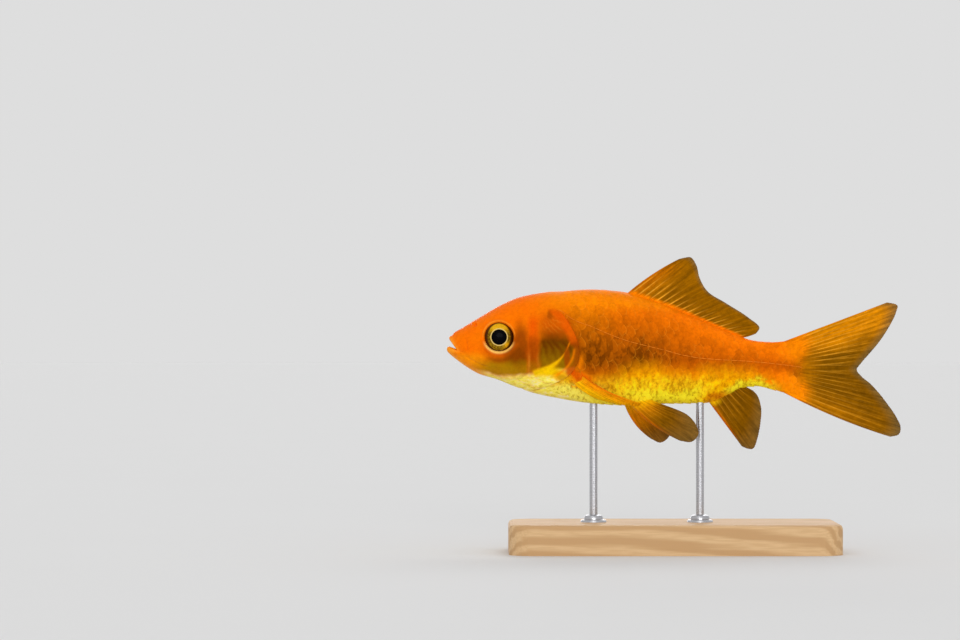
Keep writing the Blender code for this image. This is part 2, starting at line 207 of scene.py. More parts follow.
class GoldfishEyes(bpy.types.PropertyGroup):
    """Size and colours of the eyes."""
    radius: number("Radius", "Radius of the eyeball from the side, in mm", 2.9)
    half_depth: number("Half depth", "Half the depth of the eyeball across the head, in mm", 1.8)
    pupil: number("Pupil", "Radius of the pupil, in mm", 1.55)
    iris: number("Iris", "Radius of the iris, in mm", 2.36)
    ring: colour("Ring round the pupil", 228, 196, 112)
    gold: colour("Lit gold of the iris", 236, 176, 22)
    olive: colour("Olive of the iris", 168, 132, 16)
    dark: colour("Dark flecks of the iris", 92, 58, 4)
    # Painted shade in the groove round the iris.
    groove: colour("Groove round the iris", 74, 26, 3)


class GoldfishStand(bpy.types.PropertyGroup):
    """Colours of the display stand."""
    wood_dark: colour("Dark grain", 196, 156, 110)
    wood_light: colour("Light grain", 218, 182, 136)
    steel: colour("Steel", 196, 196, 200)


class GoldfishStage(bpy.types.PropertyGroup):
    """Floor, lights and camera."""
    floor: colour("Floor", 224, 224, 224)
    sky: colour("Surroundings", 222, 222, 222)
    lens: number("Lens", "Focal length, in mm", 168.75, 1.0, 500.0, "CAMERA")
    distance: number("Camera distance", "From the camera to the fish", 0.9, 0.1, 10.0, "LENGTH")
    key: number("Key light", "Strength of the high light from the camera's side", 0.1, 0.0, 100.0)
    fill: number("Fill light", "Strength of the high light from behind", 0.5, 0.0, 100.0)
    low: number("Low light", "Strength of the low lights before and behind the fish", 1.3, 0.0, 100.0)


# Shape


def world(points):
    """Points of the fish's own frame in the world, in metres."""
    return (np.asarray(points, float) + (SNOUT_X, 0.0, MOUTH_Z)) * MM


def ease(low, high, at):
    """A smooth step from 0 at low to 1 at high. It falls where high is below low."""
    t = np.clip((at - low) / (high - low), 0.0, 1.0)
    return t * t * (3 - 2 * t)


def bell(distance, width=1.0):
    """1 at no distance, falling smoothly towards 0 over the width."""
    return np.exp(-(distance / width) ** 2)


def along(table, at):
    """Values at the stations of a smooth curve through the table's pairs, which overshoots none of them."""
    stations, values = np.array(table, float).T
    rise = np.diff(values) / np.diff(stations)
    slope = np.concatenate([rise[:1], np.zeros(len(rise) - 1), rise[-1:]])
    same = rise[:-1] * rise[1:] > 0
    slope[1:-1][same] = (2 * rise[:-1] * rise[1:])[same] / (rise[:-1] + rise[1:])[same]
    k = np.clip(np.searchsorted(stations, at, side="right") - 1, 0, len(rise) - 1)
    step = stations[k + 1] - stations[k]
    t = np.clip((at - stations[k]) / step, 0.0, 1.0)
    return ((1 + 2 * t) * (1 - t) ** 2 * values[k] + t * (1 - t) ** 2 * step * slope[k]
            + t * t * (3 - 2 * t) * values[k + 1] + t * t * (t - 1) * step * slope[k + 1])


def through(knots, values, at):
    """Points at the stations of a smooth curve with those values at the knots. With three axes, the second
    runs along the stations too."""
    knots, values = np.asarray(knots, float), np.asarray(values, float)
    slopes = np.gradient(values, knots, axis=0)
    k = np.clip(np.searchsorted(knots, at, side="right") - 1, 0, len(knots) - 2)
    pick = (lambda a, i: a[i, np.arange(len(at))]) if values.ndim == 3 else (lambda a, i: a[i])
    step = (knots[k + 1] - knots[k])[:, None]
    t = ((at - knots[k])[:, None] / step).clip(0.0, 1.0)
    return ((1 + 2 * t) * (1 - t) ** 2 * pick(values, k) + t * (1 - t) ** 2 * step * pick(slopes, k)
            + t * t * (3 - 2 * t) * pick(values, k + 1) + t * t * (t - 1) * step * pick(slopes, k + 1))


def smooth_curve(points, count=160):
    """Points spread over a Catmull-Rom curve through the given ones."""
    points = np.asarray(points, float)
    ends = np.vstack([2 * points[0] - points[1], points, 2 * points[-1] - points[-2]])
    place = np.linspace(0, len(points) - 1, count)
    k = np.minimum(place.astype(int), len(points) - 2)
    t = (place - k)[:, None]
    a, b, c, d = (ends[k + i] for i in range(4))
    return 0.5 * (2 * b + (c - a) * t + (2 * a - 5 * b + 4 * c - d) * t ** 2
                  + (3 * b - a - 3 * c + d) * t ** 3)


def from_line(line, u, v):
    """Signed distance of each point from a line on the side, positive on its left, with the share of the
    line nearest to it and the line's direction there."""
    curve = smooth_curve(line)
    run = np.gradient(curve, axis=0)
    run /= np.linalg.norm(run, axis=1, keepdims=True)
    distance, share, heading = np.empty(len(u)), np.empty(len(u)), np.empty((len(u), 2))
    for part in np.array_split(np.arange(len(u)), max(1, len(u) // 20000)):
        gap = np.stack([u[part], v[part]], 1)[:, None] - curve[None]
        near = (gap ** 2).sum(2).argmin(1)
        gap, way = gap[np.arange(len(part)), near], run[near]
        # Across the nearest stretch, so the distance is smooth between the curve's points.
        cross = way[:, 0] * gap[:, 1] - way[:, 1] * gap[:, 0]
        ahead = (way * gap).sum(1)
        at_end = (near == 0) & (ahead < 0) | (near == len(curve) - 1) & (ahead > 0)
        distance[part] = np.where(at_end, np.sign(cross) * np.hypot(*gap.T), cross)
        share[part], heading[part] = near / (len(curve) - 1), way
    return distance, share, heading


def groove(line, u, v, width, fade=0.12):
    """1 on the line, falling to 0 over the width on both sides and towards its two ends."""
    distance, share, _ = from_line(line, u, v)
    return bell(distance, width) * ease(0.0, fade, share) * ease(1.0, 1.0 - fade, share)


def body_point(u, angle, grow=0.0):
    """Points of the body's plain surface. The angle is 0 at the back and turns by the left side."""
    level = along(WIDEST, u)
    up, side = np.cos(angle), np.sin(angle)
    height = np.where(up >= 0, along(BACK, u) - level, level - along(BELLY, u)) + grow
    full = np.where(up >= 0, along(FULL_ABOVE, u), along(FULL_BELOW, u))
    v = level + np.sign(up) * height * np.abs(up) ** (2 / full)
    # At the tail's root the flesh reaches further back along the upper and lower edges.
    middle = (along(BACK, u) + along(BELLY, u)) / 2
    edge = np.clip((v - middle) / 6.0, -1.2, 1.2) ** 2 * ease(62.0, 70.0, u)
    half = along(HALF_WIDTH, u - 1.2 * edge) * ease(SKIN_END, THIN_FROM, u) + grow
    return np.stack([u + 0 * v, -np.sign(side) * np.maximum(half, 0.02) * np.abs(side) ** (2 / full), v], -1)


def skin_base(s, angle):
    """Points of the skin before its relief. The station s is u behind the face, and below FACE_END it runs
    forward over the face to the lips, and below 0 back into the mouth."""
    turn = np.where(angle > np.pi, 2 * np.pi - angle, angle)
    side = np.where(angle > np.pi, 1.0, -1.0)
    upper = turn < CORNER_ANGLE
    share = np.where(upper, turn / CORNER_ANGLE, (np.pi - turn) / (np.pi - CORNER_ANGLE)) * np.pi / 2
    lean, wide = 1 - np.cos(share), np.sin(share)
    rings = []
    for _, top, corner, bottom in LIP_RINGS:
        u, v = (np.where(upper, a, b) for a, b in zip(top, bottom))
        rings.append(np.stack([u + (corner[0] - u) * lean, side * corner[1] * wide,
                               v + (corner[2] - v) * lean], -1))
    for _, top, corner, bottom in FACE_RINGS:
        u = np.where(upper, top, bottom)
        rings.append(body_point(u + (corner - u) * lean, angle))
    knots = [ring[0] for ring in LIP_RINGS + FACE_RINGS]
    face = through(knots, rings, np.minimum(s, FACE_END))
    return np.where((s < FACE_END)[:, None], face, body_point(np.maximum(s, FACE_END), angle))


def outward(surface, s, angle):
    """Unit normals of a surface given as a function of the station and the angle."""
    step = 0.02
    by_s = surface(s + step, angle) - surface(s - step, angle)
    by_angle = surface(s, angle + step) - surface(s, angle - step)
    # The angle turns from the back by the left side, so this product faces out.
    normal = np.cross(by_angle, by_s)
    return normal / np.maximum(np.linalg.norm(normal, axis=1, keepdims=True), 1e-9)


def gill_edge(u, v):
    """Distance behind the gill line, how much of an edge it is there, and the way across it, rearwards."""
    distance, _, heading = from_line(GILL_LINE, u, v)
    strength = ease(7.6, 5.6, v) * ease(0.3, 1.9, v - along(BELLY, u)) * (0.4 + 0.6 * ease(-8.6, -6.4, v))
    across = np.stack([-heading[:, 1], np.zeros(len(u)), heading[:, 0]], 1)
    return distance, strength, across


def coat_at(u, depth):
    """How far the skin lies inside the outline. It is less where the flesh thins into the tail fin."""
    return np.minimum(depth, 0.45 * along(HALF_WIDTH, u))


def trunk_sink(u, v):
    """How far the trunk lies below its plain surface close behind the gill cover."""
    distance, strength, _ = gill_edge(u, v)
    floor = [row[1:] for row in GILL_FOLD if row[0] >= 0.6]
    return along(floor, distance) * strength * (distance > 0)


def eye_distance(u, v):
    return np.hypot(u - EYE_CENTRE[0], v - EYE_CENTRE[1])


def nostril_distance(u, v, back=0.0):
    """Distance from a place that far before the nostril's middle."""
    return np.hypot(u - NOSTRIL[0] + back, v - NOSTRIL[1])


def head_relief(u, v):
    """Height of the head's forms over its plain surface: orbit, nostrils, bone edges, seams and folds."""
    r = eye_distance(u, v)
    height = -2.1 * ease(2.93, 2.6, r) + 0.17 * bell(r - 3.2, 0.24)
    height += 0.12 * bell(r - 3.6, 1.1) * (r > 3.0)
    height -= 0.07 * bell(r - 4.75, 0.3) * ease(3.0, -1.0, v)
    nostril = nostril_distance(u, v)
    flap = np.hypot((u - NOSTRIL[0] + 0.45) * 1.4, v - NOSTRIL[1] + 0.05)
    height += 0.1 * bell(nostril - 0.6, 0.2) - 0.3 * ease(0.5, 0.15, nostril)
    height += 0.16 * bell(flap, 0.33)
    distance, share, _ = from_line(CHEEK_EDGE, u, v)
    ends = ease(0.0, 0.1, share) * ease(1.0, 0.75, share)
    height += ends * (0.16 * bell(distance + 0.25, 0.35) - 0.14 * bell(distance - 0.2, 0.22))
    height -= 0.16 * groove(COVER_SEAM, u, v, 0.2) + 0.12 * groove(COVER_FOLD, u, v, 0.18)
    height += 0.1 * bell(np.hypot((u - 21.0) / 3.4, (v + 0.4) / 4.2))
    height -= 0.16 * groove(JAW_FOLD, u, v, 0.2, 0.25) + 0.16 * groove(LIP_FOLD, u, v, 0.22, 0.3)
    for k in range(3):
        rim = [(a - 2.2 - 1.5 * k, b + 0.25 - 0.45 * k) for a, b in GILL_LINE[5:9]]
        height -= 0.09 * groove(rim, u, v, 0.16, 0.3)
    return height


def base_swell(u, v):
    """Height of the fleshy lobes that the paired fins grow from."""
    pectoral = 0.55 * bell(np.hypot((u - 25.9) / 1.3, (v + 6.3) / 1.3))
    pelvic = 0.4 * bell(np.hypot((u - 37.8) / 2.4, (v + 11.4) / 0.9))
    return pectoral + pelvic


def skin_surface(s, angle, depth):
    """Points of the finished skin."""
    base = skin_base(s, angle)
    normal = outward(skin_base, s, angle)
    u, v = base[:, 0], base[:, 2]
    distance, strength, across = gill_edge(u, v)
    scaly = ease(0.0, 3.6 - 3.0 * strength, distance)
    height = head_relief(u, v) * ease(1.6, 3.2, s) * ease(1.2, 0.3, distance) + base_swell(u, v)
    height -= coat_at(u, depth) * scaly
    q, place, stand = zip(*GILL_FOLD)
    near = strength * (distance > q[0]) * (distance < q[-1])
    slide = (along(list(zip(q, place)), distance) - distance) * near
    height += along(list(zip(q, stand)), distance) * near
    return base + normal * height[:, None] + across * slide[:, None]


# Markings: heights of the upper edge and darkest level of the band of painted dark reflection, the depth of
# its foot below that, and the height of the gold's upper edge, with how strong the band and the gold are, all
# by u.
DARK_REFLECTION_TOP = [(20.0, 8.4), (28.0, 8.4), (34.0, 8.4), (40.0, 7.8), (44.0, 7.0), (48.0, 5.4), (52.0, 3.0),
            (56.0, 1.0), (60.0, 0.2), (64.0, -0.8), (68.0, -1.6), (74.0, -2.0)]
DARK_REFLECTION_MIDDLE = [(20.0, -1.0), (30.0, -2.2), (34.0, -2.6), (38.0, -2.2), (44.0, -2.0), (48.0, -2.6),
               (52.0, -2.4), (56.0, -3.4), (60.0, -3.4), (64.0, -3.6), (70.0, -4.4), (74.0, -4.6)]
DARK_REFLECTION_FOOT = [(20.0, 4.4), (27.0, 4.8), (31.0, 5.8), (36.0, 4.4), (40.0, 3.8), (56.0, 3.2), (62.0, 2.2),
             (74.0, 3.0)]
DARK_REFLECTION_SHARE = [(20.0, 0.8), (28.0, 0.82), (33.0, 0.74), (38.0, 0.78), (44.0, 0.54), (48.0, 0.36), (52.0, 0.28),
              (60.0, 0.24), (66.0, 0.12), (70.0, 0.2), (74.0, 0.5)]
GOLD_TOP = [(20.0, -4.4), (26.0, -5.0), (29.0, -6.2), (32.0, -5.6), (36.0, -3.8), (40.0, -2.9), (44.0, -3.9),
            (48.0, -4.6), (52.0, -3.8), (56.0, -3.8), (60.0, -4.0), (64.0, -5.8), (68.0, -7.2), (74.0, -9.0)]
GOLD_SHARE = [(20.0, 1.0), (60.0, 1.0), (64.0, 0.8), (67.0, 0.4), (70.0, 0.1), (74.0, 0.0)]
THROAT_TOP = [(5.0, -4.8), (8.0, -5.4), (11.0, -6.2), (15.0, -5.9), (19.0, -5.4), (26.0, -4.4)]


def blob(u, v, centre, radii, soft):
    """1 inside an ellipse, falling to 0 outside it."""
    r = np.hypot((u - centre[0]) / radii[0], (v - centre[1]) / radii[1])
    return ease(1.0 + soft / 2, 1.0 - soft / 2, r)


def ripple(u, v, wavelength, turn):
    """A smooth uneven wave between about -1 and 1, to keep edges of colour from running straight."""
    a, b = u * 2 * math.pi / wavelength, v * 2 * math.pi / wavelength
    return (np.sin(a + 1.7 * np.sin(b * 0.7 + turn)) + np.sin(b * 1.1 + 1.3 * np.sin(a * 0.8 + 2.1 * turn))
            + 0.6 * np.sin(1.9 * (a - b) + 3.0 * turn)) / 2.6


def markings(u, v, skin):
    """Colour of the fish at points seen from the side, with painted light and shade in it, how strong the
    painted dark reflection on its scales is there, and how gold.
    """
    behind, _, _ = gill_edge(u, v)
    trunk = ease(-0.3, 0.6, behind)
    head = 1 - trunk
    r, belly = eye_distance(u, v), along(BELLY, u)
    # The edges of colour wander, but the folds and seams of the gill cover keep their place.
    seam_u, seam_v = u, v
    stray = 0.16 * ease(3.2, 5.0, r) * ease(5.0, 9.0, u)
    u, v = u + stray * ripple(u, v, 3.4, 0.3), v + stray * ripple(u, v, 3.0, 1.9)
    found = np.tile(np.array(skin.back), (len(u), 1))

    def lay(name, weight):
        nonlocal found
        found = found + (np.array(getattr(skin, name)) - found) * np.clip(weight, 0, 1)[:, None]

    def spot(name, share, centre, radii, soft):
        lay(name, share * blob(u, v, centre, radii, soft))

    # Flank: orange above, a painted dark reflection along the side line, gold below it and yellow on the
    # belly.
    top, middle, foot, gold_top = (along(line, u) for line in (DARK_REFLECTION_TOP, DARK_REFLECTION_MIDDLE, DARK_REFLECTION_FOOT, GOLD_TOP))
    ramp = np.clip((top - v) / (top - middle), 0, 1)
    gold = ease(1.4, -5.2, v - gold_top) * along(GOLD_SHARE, u)
    below = 1 - ease(0.2, 1.0, (middle - v) / foot)
    dusk = ramp * along(DARK_REFLECTION_SHARE, u) * below
    warm = np.maximum(ease(46.0, 54.0, u), ease(8.6, 6.0, v) * ease(28.0, 36.0, u))
    lay("face", 0.85 * ease(70.0, 65.0, u) * warm)
    lay("rust", 0.78 * ramp ** 0.8 * (below + (1 - below) * ease(68.0, 54.0, u)))
    lay("dusk", dusk)
    lay("gold", gold * trunk)
    yellow = np.maximum((0.3 * ease(-5.6, -8.2, v) + 0.7 * ease(-8.4, -10.2, v)) * ease(55.0, 50.0, u),
                        ease(2.2, 0.8, v - belly) * ease(49.0, 54.0, u) * ease(68.0, 62.0, u))
    lay("belly", yellow * trunk)
    # The browner skin that the anal fin grows from, and the fading of the tail's root.
    spot("gold", 0.9, (53.6, -10.7), (3.4, 1.6), 1.0)
    spot("rust", 0.6, (54.2, -10.5), (2.6, 1.1), 1.0)
    lay("root", ease(68.8, 72.4, u - 2.6 * ease(-4.5, 1.5, v) - 2.0 * ease(-6.0, -9.5, v)))
    lay("chest", 0.9 * trunk * ease(33.0, 25.0, u) * ease(-7.4, -9.0, v) * ease(-1.2, 0.6, v - belly))
    # Head: olive low on the cheek, painted shade behind and below the eye, and a red-orange bar behind that
    # with painted shade on its lower part.
    lay("face", head * ease(24.0, 15.0, u) * np.maximum(ease(-2.0, 3.0, v), ease(14.0, 9.0, u)))
    lay("jaw", head * 0.85 * ease(10.5, 5.0, u) * ease(-0.9, -2.6, v))
    lay("jaw", head * ease(1.7, 1.0, u) * ease(0.0, -0.4, v))
    spot("olive", head * 0.92, (11.4, -4.6), (5.4, 2.1), 1.1)
    spot("shade", head, (14.7, -0.6), (1.6, 4.8), 1.0)
    lay("shade", head * 0.9 * bell(r - 4.6, 0.7) * ease(1.0, -1.6, v) * ease(6.5, 10.5, u))
    spot("olive", head * 0.7, (14.8, -4.6), (1.5, 1.6), 0.9)
    lay("rust", head * 0.8 * bell(r - 3.75, 0.45) * ease(0.8, -0.4, v) * ease(6.4, 8.0, u))
    spot("cover", head * 0.5, (13.8, -2.2), (2.2, 1.9), 1.0)
    bar = head * np.exp(-(np.abs(u - 17.2) / 1.15) ** 4) * ease(7.0, 4.0, v) * ease(-6.6, -4.6, v)
    lay("blush", 0.85 * bar)
    lay("shade", 0.85 * bar * ease(3.0, 0.0, v))
    lay("olive", 0.5 * bar * ease(-2.2, -4.6, v))
    lay("lip", 0.4 * bar * ease(-0.5, -3.0, v) * bell(np.abs(u - 17.3) - 1.0, 0.28))
    # Gill cover: rusty above with spots of painted shade, then a dark patch that is a painted dark
    # reflection, lighter and olive downwards, streaked from its upper corner.
    streak = np.sin(np.arctan2(v - 7.5, u - 17.0) * 46.0 + 1.5 * ripple(u, v, 3.1, 0.9))
    spot("rust", head * 0.9, (21.4, 4.0), (2.9, 2.6), 0.9)
    spot("shade", head * 0.5, (21.0, 2.6), (2.6, 1.0), 0.9)
    lay("lip", head * 0.16 * ease(0.2, 1.0, streak) * blob(u, v, (21.2, 4.0), (2.2, 1.6), 0.8))
    spot("shade", head * 0.7, (20.5, 6.0), (0.55, 0.9), 0.9)
    patch = head * ease(17.8, 19.2, u) * ease(3.4, 0.6, v + 0.05 * (u - 21.0) ** 2)
    lay("cover", patch)
    lay("olive", patch * (0.1 + 0.1 * streak) * ease(1.6, -1.0, v))
    lay("olive", patch * 0.6 * ease(0.2, -4.6, v))
    throat = along(THROAT_TOP, u)
    lay("rim", head * 0.9 * ease(0.5, -0.5, v - throat) * ease(4.6, 8.0, u))
    lay("chest", head * ease(0.2, -0.9, v - throat) * ease(6.0, 10.0, u))
    lay("lip", head * 0.45 * ease(0.55, 0.9, ripple(2.2 * u, 4.0 * v, 1.0, 0.4))
        * ease(-0.4, -1.2, v - throat))
    lay("rim", head * 0.5 * ease(0.5, 1.0, np.sin(4.2 * (v + 0.32 * u) + 1.2 * ripple(u, v, 3.6, 2.2)))
        * ease(-0.2, -0.9, v - throat))
    # A peach line along the chin's lower edge: the jaw's translucent edge, with a painted highlight.
    lay("lip", head * 0.75 * ease(0.7, 0.15, v - belly) * ease(9.0, 6.0, u))
    # Red-orange edge of the gill cover, with painted shade at its foot.
    edge = ease(-1.7, -0.8, behind) * ease(0.45, 0.15, behind) * ease(7.6, 6.2, v)
    lay("blush", 0.66 * edge * ease(-0.8, 1.2, v))
    lay("shade", 0.75 * edge * ease(1.8, -0.6, v) * ease(-6.4, -5.2, v) * ease(-1.2, -0.4, behind))
    # Yellow wedge under the patch, and the folds behind it with painted shade in the gap between.
    wide = 0.12 + 0.5 * ease(-1.6, -6.0, seam_v)
    seam = head * groove(COVER_SEAM, seam_u + 0.3 * wide, seam_v - 0.3 * wide, wide, 0.08)
    lay("back", 0.85 * seam)
    lay("wedge", seam * ease(-0.8, -4.4, seam_v))
    lay("wedge", head * blob(seam_u, seam_v, (20.6, -5.4), (2.6, 0.9), 1.2))
    lay("shade", head * 0.85 * blob(seam_u, seam_v, (23.9, -2.6), (0.6, 2.0), 0.7))
    lay("gold", head * 0.85 * blob(seam_u, seam_v, (22.6, -6.0), (1.5, 0.9), 0.9))
    lay("olive", head * 0.5 * blob(seam_u, seam_v, (22.8, -6.3), (0.8, 0.5), 0.8))
    spot("rust", head * 0.85, (24.6, -5.4), (1.0, 1.1), 0.8)
    lay("back", head * 0.75 * groove(COVER_FOLD, seam_u, seam_v, 0.2, 0.12))
    # The orange shoulder behind the gill opening, with painted shade close behind the gill cover's edge.
    shoulder = bell(behind - 0.5, 0.6) * trunk
    lay("shade", 0.2 * bell(behind - 0.2, 0.5) * trunk * ease(4.0, 1.0, v) * ease(-6.0, -4.6, v))
    lay("back", 0.9 * shoulder * ease(-0.6, -3.0, v) * ease(-7.0, -5.0, v))
    spot("face", 0.7, (26.7, -7.0), (2.2, 1.0), 0.9)
    spot("blush", 0.8, (26.0, -6.1), (1.2, 0.9), 0.9)
    # Round the eye: painted shade in the groove, a painted highlight on the rim above and behind, and a
    # painted reflection on the pale rim below.
    lay("lip", 0.5 * bell(r - 3.15, 0.15) * ease(1.2, 2.6, v))
    lay("rim", bell(r - 2.98, 0.3) * ease(1.1, -0.6, v))
    lay("orbit", ease(0.0, -0.1, r - 2.86 + 0.12 * ease(0.6, -1.2, v)))
    # How strong the painted dark reflection on the scales is: less on the orange shoulder, and none high up.
    dusk = dusk * (1.15 - 0.9 * shoulder) * ease(7.6, 5.6, v + ease(34.0, 27.0, u))
    return found, np.clip(dusk, 0, 1), np.clip(gold + yellow, 0, 1)


def mouth_colours(found, s, skin):
    """Lays the colours of the lips and of the inside of the mouth over the face's own."""
    lip = bell(s - 0.3, 0.6)
    found = found + (np.array(skin.lip) - found) * (0.75 * lip)[:, None]
    return found + (np.array(skin.mouth) - found) * ease(-0.3, -1.1, s)[:, None]


# Mesh helpers


def new_object(name, data):
    made = bpy.data.objects.new(name, data)
    bpy.context.scene.collection.objects.link(made)
    return made


def add_piece(name, mesh, material, replaced=()):
    """Puts a finished mesh in the scene as a piece of the object, riding on its one body."""
    piece = new_object(name, mesh)
    mesh.materials.append(material)
    mesh.shade_smooth()
    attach(piece, BODY)
    if replaced:
        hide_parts(*replaced)
    return piece


def mesh_from(name, points, faces):
    mesh = bpy.data.meshes.new(name)
    mesh.from_pydata(points.tolist(), [], [[int(i) for i in face] for face in faces])
    mesh.validate()
    return mesh


def turned(profile, around, x=0.0, y=0.0):
    """Rings of points round an upright axis, one for each radius and height of the profile."""
    return np.array([(x + r * math.cos(t), y + r * math.sin(t), z)
                     for r, z in profile for t in np.linspace(0, 2 * np.pi, around, endpoint=False)])


def mirrored(points, faces):
    """The same closed shape on the fish's right side."""
    return points * (1, -1, 1), [face[::-1] for face in faces]


def set_values(mesh, name, values):
    """Stores a number or a colour for each vertex, for the material to read."""
    values = np.asarray(values, np.float32)
    kind, field = ("FLOAT", "value") if values.ndim == 1 else ("FLOAT_COLOR", "color")
    if values.ndim == 2:
        values = np.concatenate([values, np.ones((len(values), 1), np.float32)], 1)
    mesh.attributes.new(name, kind, "POINT").data.foreach_set(field, values.ravel())


def set_all(mesh, repeat, **values):
    """Stores several values, each passed through the repeat that spreads it over the mesh's points."""
    for name, value in values.items():
        set_values(mesh, name, repeat(value))


def set_bake_map(mesh, places):
    """Stores each vertex's place on the map that colours are baked to."""
    corners = np.empty(len(mesh.loops), np.int32)
    mesh.loops.foreach_get("vertex_index", corners)
    mesh.uv_layers.new(name="OFBake").uv.foreach_set("vector", places[corners].ravel().astype(np.float32))


def inset(places):
    """The same places, a little inside the map's border."""
    return places * 0.98 + 0.01


def grid_faces(rows, columns):
    """Quads of a grid of points numbered along its rows."""
    i, j = np.meshgrid(np.arange(rows - 1), np.arange(columns - 1), indexing="ij")
    first = (i * columns + j).ravel()
    return np.stack([first, first + columns, first + columns + 1, first + 1], 1)


def tube_faces(rings, around, first=0):
    """Quads between rings of points that follow each other, with the first point's number."""
    corners = [(k, j, (j + 1) % around) for k in range(rings - 1) for j in range(around)]
    return [[first + k * around + j, first + (k + 1) * around + j, first + (k + 1) * around + after,
             first + k * around + after] for k, j, after in corners]


def rim_of(rows, columns):
    """Numbers of the points round a grid's border, in order."""
    index = np.arange(rows * columns).reshape(rows, columns)
    return np.concatenate([index[0, :-1], index[:-1, -1], index[-1, :0:-1], index[:0:-1, 0]])


def plate_faces(rows, columns):
    """Quads of a closed plate: a grid, the same grid under it, and the strip that joins their borders."""
    count = rows * columns
    top, rim = grid_faces(rows, columns), rim_of(rows, columns)
    after = np.roll(rim, -1)
    strip = np.stack([rim, after, after + count, rim + count], 1)
    return np.concatenate([top, top[:, ::-1] + count, strip])


# Materials


# The faint warm glint of skin, scales and fins.
WARM_GLINT = {"Specular_IOR_Level": 0.06, "Specular_Tint": (1.0, 0.5, 0.03, 1.0)}


class Nodes:
    """A material's node tree, built by short calls."""

    def __init__(self, name):
        self.material = bpy.data.materials.new(name)
        self.material.use_nodes = True
        self.tree = self.material.node_tree
        self.shader = self.tree.nodes["Principled BSDF"]

    def add(self, kind, **inputs):
        """A node of that kind. Names with a capital are its sockets, and the rest its own settings."""
        node = self.tree.nodes.new("ShaderNode" + kind)
        for key, value in inputs.items():
            if not key[0].isupper():
                setattr(node, key, value)
        for key, value in inputs.items():
            if key[0].isupper():
                self.plug(node.inputs[key.replace("_", " ")], value)
        return node

    def plug(self, socket, value):
        if isinstance(value, bpy.types.NodeSocket):
            self.tree.links.new(value, socket)
        else:
            socket.default_value = value

    def value(self, name):
        """A number stored on the mesh."""
        return self.add("Attribute", attribute_name=name).outputs["Fac"]

    def stored_colour(self, name):
        return self.add("Attribute", attribute_name=name).outputs["Color"]

    def place(self):
        """The point's place in the frame, in millimetres."""
        where = self.add("TexCoord").outputs["Object"]
        return self.add("VectorMath", operation="SCALE", Vector=where, Scale=1 / MM).outputs["Vector"]

    def stretched(self, by):
        """The point's place, scaled by its own amount along each axis."""
        node = self.add("VectorMath", operation="MULTIPLY", Vector=self.place())
        node.inputs[1].default_value = by
        return node.outputs["Vector"]

    def flecks(self, base, share, stretch, dull, lift):
        """Small flecks over a colour, as strong as the share: lifted ones, which are painted glints, and dull
        ones, which are painted shade.
        """
        fleck = self.noise(1.0, 3.0, self.stretched(stretch), 0.65)
        dark = self.mix(1.0, base, dull, "MULTIPLY")
        light = self.mix(1.0, self.mix(1.0, base, lift, "MULTIPLY"), (1.0, 0.86, 0.4), "DARKEN")
        found = self.mix(self.times(share, self.spread(fleck, 0.5, 0.36, 0.0, 0.72)), base, dark)
        return self.mix(self.times(share, self.spread(fleck, 0.5, 0.64, 0.0, 0.85)), found, light)

    def grey(self, value):
        return self.add("CombineColor", Red=value, Green=value, Blue=value).outputs["Color"]

    def noise(self, scale, detail=3.0, vector=None, roughness=0.5):
        return self.add("TexNoise", Vector=vector or self.place(), Scale=scale, Detail=detail,
                        Roughness=roughness).outputs["Fac"]

    def spread(self, value, low, high, to_low=0.0, to_high=1.0):
        """A value mapped smoothly from one range to another."""
        return self.add("MapRange", interpolation_type="SMOOTHSTEP", Value=value, From_Min=low, From_Max=high,
                        To_Min=to_low, To_Max=to_high).outputs["Result"]

    def maths(self, operation, first, second=0.0):
        node = self.add("Math", operation=operation)
        self.plug(node.inputs[0], first)
        self.plug(node.inputs[1], second)
        return node.outputs[0]

    def times(self, first, second):
        return self.maths("MULTIPLY", first, second)

    def mix(self, share, first, second, blend="MIX"):
        node = self.add("Mix", data_type="RGBA", blend_type=blend)
        for index, value in ((0, share), (6, first), (7, second)):
            opaque = isinstance(value, (tuple, list)) and len(value) == 3
            self.plug(node.inputs[index], (*value, 1.0) if opaque else value)
        return node.outputs[2]

    def bump(self, height, distance, strength=1.0, under=None):
        node = self.add("Bump", Height=height, Distance=distance * MM, Strength=strength)
        if under is not None:
            self.plug(node.inputs["Normal"], under)
        return node.outputs["Normal"]

    def finish(self, **inputs):
        for key, value in inputs.items():
            self.plug(self.shader.inputs[key.replace("_", " ")], value)
        return self.material


def skin_material():
    """Bare skin of the head: the markings, with warmer and duller mottling, painted glints and painted shade
    in flecks where it is gold, and a fine grain.
    """
    n = Nodes("skin_bare")
    base = n.stored_colour("markings")
    warm = n.mix(n.spread(n.noise(0.55, 4.0), 0.35, 0.7, 0.0, 0.22), base, (1.0, 0.62, 0.5), "MULTIPLY")
    mottle = n.times(n.spread(n.noise(1.5, 5.0, roughness=0.6), 0.3, 0.7, 0.92, 1.05),
                     n.spread(n.noise(7.0, 2.0), 0.35, 0.65, 0.97, 1.03))
    calm = n.mix(1.0, warm, n.grey(mottle), "MULTIPLY")
    # Painted glints and painted shade in flecks, as strong as the stored shine.
    colours = n.flecks(calm, n.value("shine"), (0.7, 1.0, 1.5), (0.62, 0.54, 0.3), (1.0, 1.05, 4.0))
    grain = n.bump(n.noise(8.0, 4.0), 0.04, 0.5)
    return n.finish(Base_Color=colours, Roughness=n.spread(n.noise(3.0), 0.2, 0.8, 0.34, 0.5), Normal=grain,
                    **WARM_GLINT)


